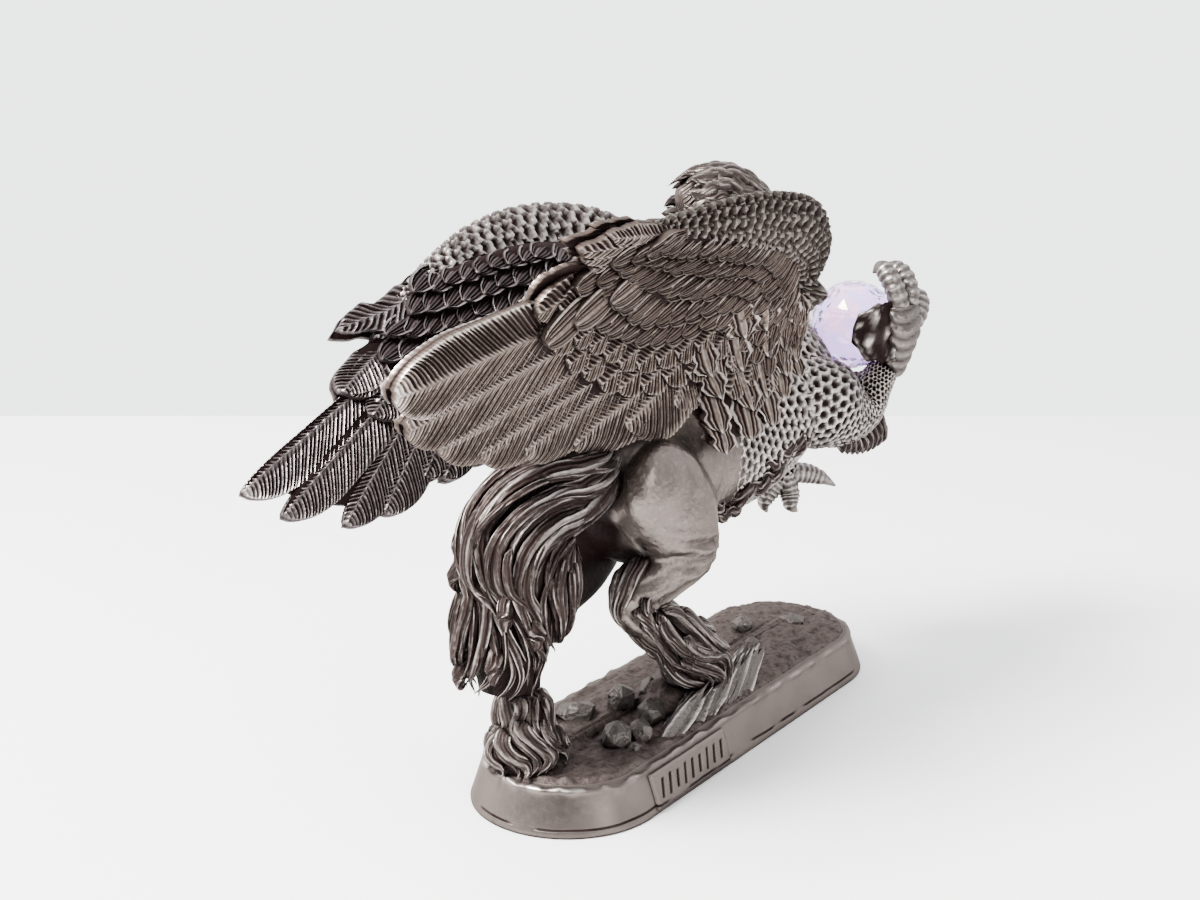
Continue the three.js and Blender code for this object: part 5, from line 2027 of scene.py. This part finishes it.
    def tertial_feathers(self, face: float) -> list[Laid]:
        """The ragged feathers that hang in columns over the beast's side.

        Args:
            face: 1 for the wing's outer face, -1 for its inner.

        Returns:
            The feathers in their places.
        """
        fine = face == self.near_face
        blank = Blank.leaf(12, 22) if fine else Blank.leaf(6, 12)
        parts = []
        for i, (path, half) in enumerate(TERTIALS):
            for j, first in enumerate((0.66, 0.44, 0.22, 0.0)):
                a, b = spline(np.array(path, float), np.array([first, min(first + 0.4, 1)]))
                low = 0.25 + 0.3 * j
                sway = 0.5 * (-1) ** (i + j)
                parts.append(
                    self.feather(
                        blank, a, b + (0.25 * sway, 0), half, low, low + 0.8, face,
                        seed=900 + i * 5 + j, point=0.34, cup=0.25, bend=sway, ragged=0.2, sharp=0.6,
                        strokes=True,
                    )
                )
        return parts

    def arm_band(self) -> Laid:
        """The scaled arm along the leading edge, from the alula's root round to the shoulder.

        Returns:
            The arm in its place.
        """
        rows = []
        for i, (back, down, wide, inward) in enumerate(self.arm):
            at = self.on(np.array([back]), np.array([down]), np.array([-inward]))[0]
            rows.append([*at, wide, self.arm_thickness / 2 * (0.5 + 0.6 * i / (len(self.arm) - 1))])

        def scallops(along: Array, around: Array) -> tuple[Array, Array]:
            """Rows of overlapping scales round the arm.

            Args:
                along: shares along.
                around: angles round.

            Returns:
                How far out the skin stands in mm, and how hollow it is.
            """
            turned = np.abs((around + 1.5 * math.pi) % (2 * math.pi) - math.pi) / math.pi
            down = turned * self.scale_rows + 0.12 * np.sin(along * 60)
            gap = scales(along * self.scale_run + self.scale_slant * down, down)
            wall = smooth(0.42, 0.95, gap)
            return 0.62 * (wall - 0.5), np.maximum(1.0 - 1.8 * wall, -self.shine)

        return swept(Blank.round(96, 170), rows, self.down, scallops, finish=finish_number(self.banded))

    def alula(self, face: float) -> list[Laid]:
        """The loose feathers at the end of the arm.

        Args:
            face: 1 for the wing's outer face, -1 for its inner.

        Returns:
            The feathers in their places.
        """
        blank = Blank.leaf(8, 30)
        return [
            self.feather(
                blank, root, tip, half, 0.5, high, face,
                seed=970 + i, point=0.4, cup=0.1, ragged=0.16, sharp=0.7, rimmed=0.4,
            )
            for i, (root, tip, half, high) in enumerate(self.alula_shapes)
        ]

    def parts(self) -> list[Laid]:
        """The whole wing: its web, arm and feathers on both faces.

        Returns:
            The web, the arm and every feather.
        """
        parts = [self.core(), self.arm_band()]
        for face in (1.0, -1.0):
            parts += self.quill_feathers(face)
            parts += self.tertial_feathers(face)
            parts += self.covert_feathers(face)
            parts += self.shell_feathers(face)
            parts += self.alula(face)
        return parts


# Crystal


@dataclass
class CrystalBall:
    """The cut ball: rows of small facets, with a thin iridescent coat."""

    sides: int = 20
    rings: int = 12

    def material(self) -> bpy.types.Material:
        """Clear glass with a coat that plays from pink to lilac.

        Returns:
            The glass.
        """
        bench = Bench("crystal_iridescent")
        shader = bench.shader
        where = bench.place()
        tint = bench.noise(where, 0.26, 1.0)
        lilac, pink = (0.52, 0.46, 0.98), (1.0, 0.54, 0.8)
        bench.feed(shader.inputs["Base Color"], bench.mixed(tint.step(0.4, 0.6), lilac, pink))
        shader.inputs["Roughness"].default_value = 0.09
        shader.inputs["IOR"].default_value = 1.52
        shader.inputs["Transmission Weight"].default_value = 0.92
        shader.inputs["Thin Film Thickness"].default_value = 430.0
        shader.inputs["Thin Film IOR"].default_value = 1.7
        return bench.material

    def made(self) -> bpy.types.Object:
        """The ball, as rings of flat facets, each ring turned half a facet from the last.

        Returns:
            The finished piece.
        """
        deselect()
        bpy.ops.mesh.primitive_uv_sphere_add(segments=self.sides, ring_count=self.rings, radius=1)
        blank = Blank.taken(bpy.context.object)
        points = blank.points.copy()
        ring = np.round(blank.along * self.rings)
        turn = np.where(ring % 2 == 1, math.pi / self.sides, 0)
        x, y = points[:, 0].copy(), points[:, 1].copy()
        points[:, 0] = x * np.cos(turn) - y * np.sin(turn)
        points[:, 1] = x * np.sin(turn) + y * np.cos(turn)
        points = points * BALL_RADIUS + BALL_CENTRE
        ball = bare(blank, points, flat=True)
        return Casting("crystal_ball_cut", "crystal_ball", [ball], "crystal").pour([self.material()])


# Studio


@dataclass
class Studio:
    """A pale table in soft light, and the camera where the photograph was taken."""

    camera_at: tuple = (-191.665, -121.1, 101.747)
    azimuth: float = -55.03
    dip: float = 15.87
    lens: float = 56.01
    table_beyond: float = 158.0
    table_reach: float = 2600.0
    pale: tuple = (3.5, 3.57, 3.66)
    dim: tuple = (0.16, 0.155, 0.15)
    lamp_aim: float = 36.0
    lamp_colour: tuple = (1.0, 0.985, 0.965)
    lamps: tuple = (
        ("window", (-300, 160, 420), 220, 15.0),
        ("fill", (-120, -420, 220), 260, 1.6),
    )

    def set_up(self) -> None:
        """Makes the table, the lights, the surroundings and the camera."""
        self.table()
        self.lights()
        self.camera()

    def table(self) -> None:
        """A pale table top whose far edge lies where the photograph's does."""
        deselect()
        bpy.ops.mesh.primitive_plane_add(size=1)
        table = bpy.context.object
        table.name = "table_top"
        turn = math.radians(self.azimuth)
        ahead = np.array([-math.sin(turn), math.cos(turn), 0])
        right = np.array([math.cos(turn), math.sin(turn), 0])
        for vertex in table.data.vertices:
            side = np.sign(vertex.co.x) * self.table_reach
            depth = self.table_beyond if vertex.co.y > 0 else -self.table_reach
            vertex.co = (right * side + ahead * depth) * MM
        bench = Bench("table_pale")
        where = bench.place()
        tone = bench.mixed(bench.noise(where, 0.006, 2.0), (0.9, 0.9, 0.9), (0.93, 0.93, 0.93))
        bench.feed(bench.shader.inputs["Base Color"], tone)
        bench.shader.inputs["Roughness"].default_value = 0.65
        table.data.materials.append(bench.material)

    def lights(self) -> None:
        """A broad soft light from above on the left, and a room that is pale ahead and dim behind."""
        world = bpy.data.worlds.new("room")
        bpy.context.scene.world = world
        world.use_nodes = True
        bench = Bench("room", world.node_tree, world.node_tree.nodes["Background"])
        turn = math.radians(self.azimuth)
        way = bench.node("ShaderNodeTexCoord", output=0)
        ahead = bench.node(
            "ShaderNodeVectorMath",
            {"operation": "DOT_PRODUCT"},
            {0: way, 1: (-math.sin(turn), math.cos(turn), 0.25)},
            output=1,
        )
        room = bench.mixed(ahead.step(-0.7, 0.75), self.dim, self.pale)
        bench.feed(bench.shader.inputs["Color"], room)
        for name, at, size, power in self.lamps:
            lamp = bpy.data.lights.new(name, "AREA")
            lamp.shape = "DISK"
            lamp.size = size * MM
            lamp.energy = power
            lamp.color = self.lamp_colour
            obj = placed(name, lamp)
            obj.location = [c * MM for c in at]
            aim = np.array([0, 0, self.lamp_aim]) - np.array(at)
            flat = math.hypot(aim[0], aim[1])
            obj.rotation_euler = (math.atan2(flat, -aim[2]), 0, math.atan2(-aim[0], aim[1]))

    def camera(self) -> None:
        """The photograph's view."""
        data = bpy.data.cameras.new("camera")
        data.lens = self.lens
        data.sensor_width = 36
        data.clip_start = 0.01
        obj = placed("camera", data)
        obj.location = [c * MM for c in self.camera_at]
        obj.rotation_euler = (math.radians(90 - self.dip), 0, math.radians(self.azimuth))
        bpy.context.scene.camera = obj


def wings() -> dict[str, Wing]:
    """Each wing under the name of its node.

    Returns:
        The right wing and the left.
    """
    right = Wing(
        "right_wing_cast", outward=-1, arch=0.0, chord=1.0, wrist=(12, -13, 67), upper=(-35, -9, 69.7),
        tip=(-55, -2, 55.7), lines=RIGHT_LINES, quills=RIGHT_QUILLS, rows=RIGHT_ROWS, shells=RIGHT_SHELLS,
        feathered="feather", near_face=1.0, cup=0.25, scale_rows=6.0, scale_run=44.0, scale_slant=0.5,
        banded="band", alula_shapes=RIGHT_ALULA, shine=0.2,
    )
    left = Wing(
        "left_wing_cast", outward=1, arch=2.8, chord=0.92, wrist=(12, 19.5, 63.8), upper=(-35, 27, 55.5),
        tip=(-54, 23, 42), lines=LEFT_LINES, quills=LEFT_QUILLS, rows=LEFT_ROWS, shells=(),
        feathered="shaded_far_feather", near_face=-1.0, cup=0.6, scale_rows=6.5, scale_run=40.0, shine=0.5,
    )
    return {"right_wing": right, "left_wing": left}


def main() -> None:
    """Builds the figurine and its studio in order."""
    logging.basicConfig(level=logging.INFO, format="%(message)s")
    materials = [FINISHES[name].made() for name in ORDER]
    eagle = Eagle()
    runs_in = [eagle.neck[2:5], eagle.right_arm[:4], eagle.left_arm[:3]]
    body = {
        "plinth_cast": Plinth().parts(),
        "horse_cast": Horse().parts(runs_in),
        "eagle_cast": eagle.parts(),
    }
    for name, parts in body.items():
        Casting(name, "hippogriff_and_plinth", parts).pour(materials)
    for node, wing in wings().items():
        Casting(wing.name, node, wing.parts()).pour(materials)
    CrystalBall().made()
    Studio().set_up()


if __name__ == "__main__":
    main()
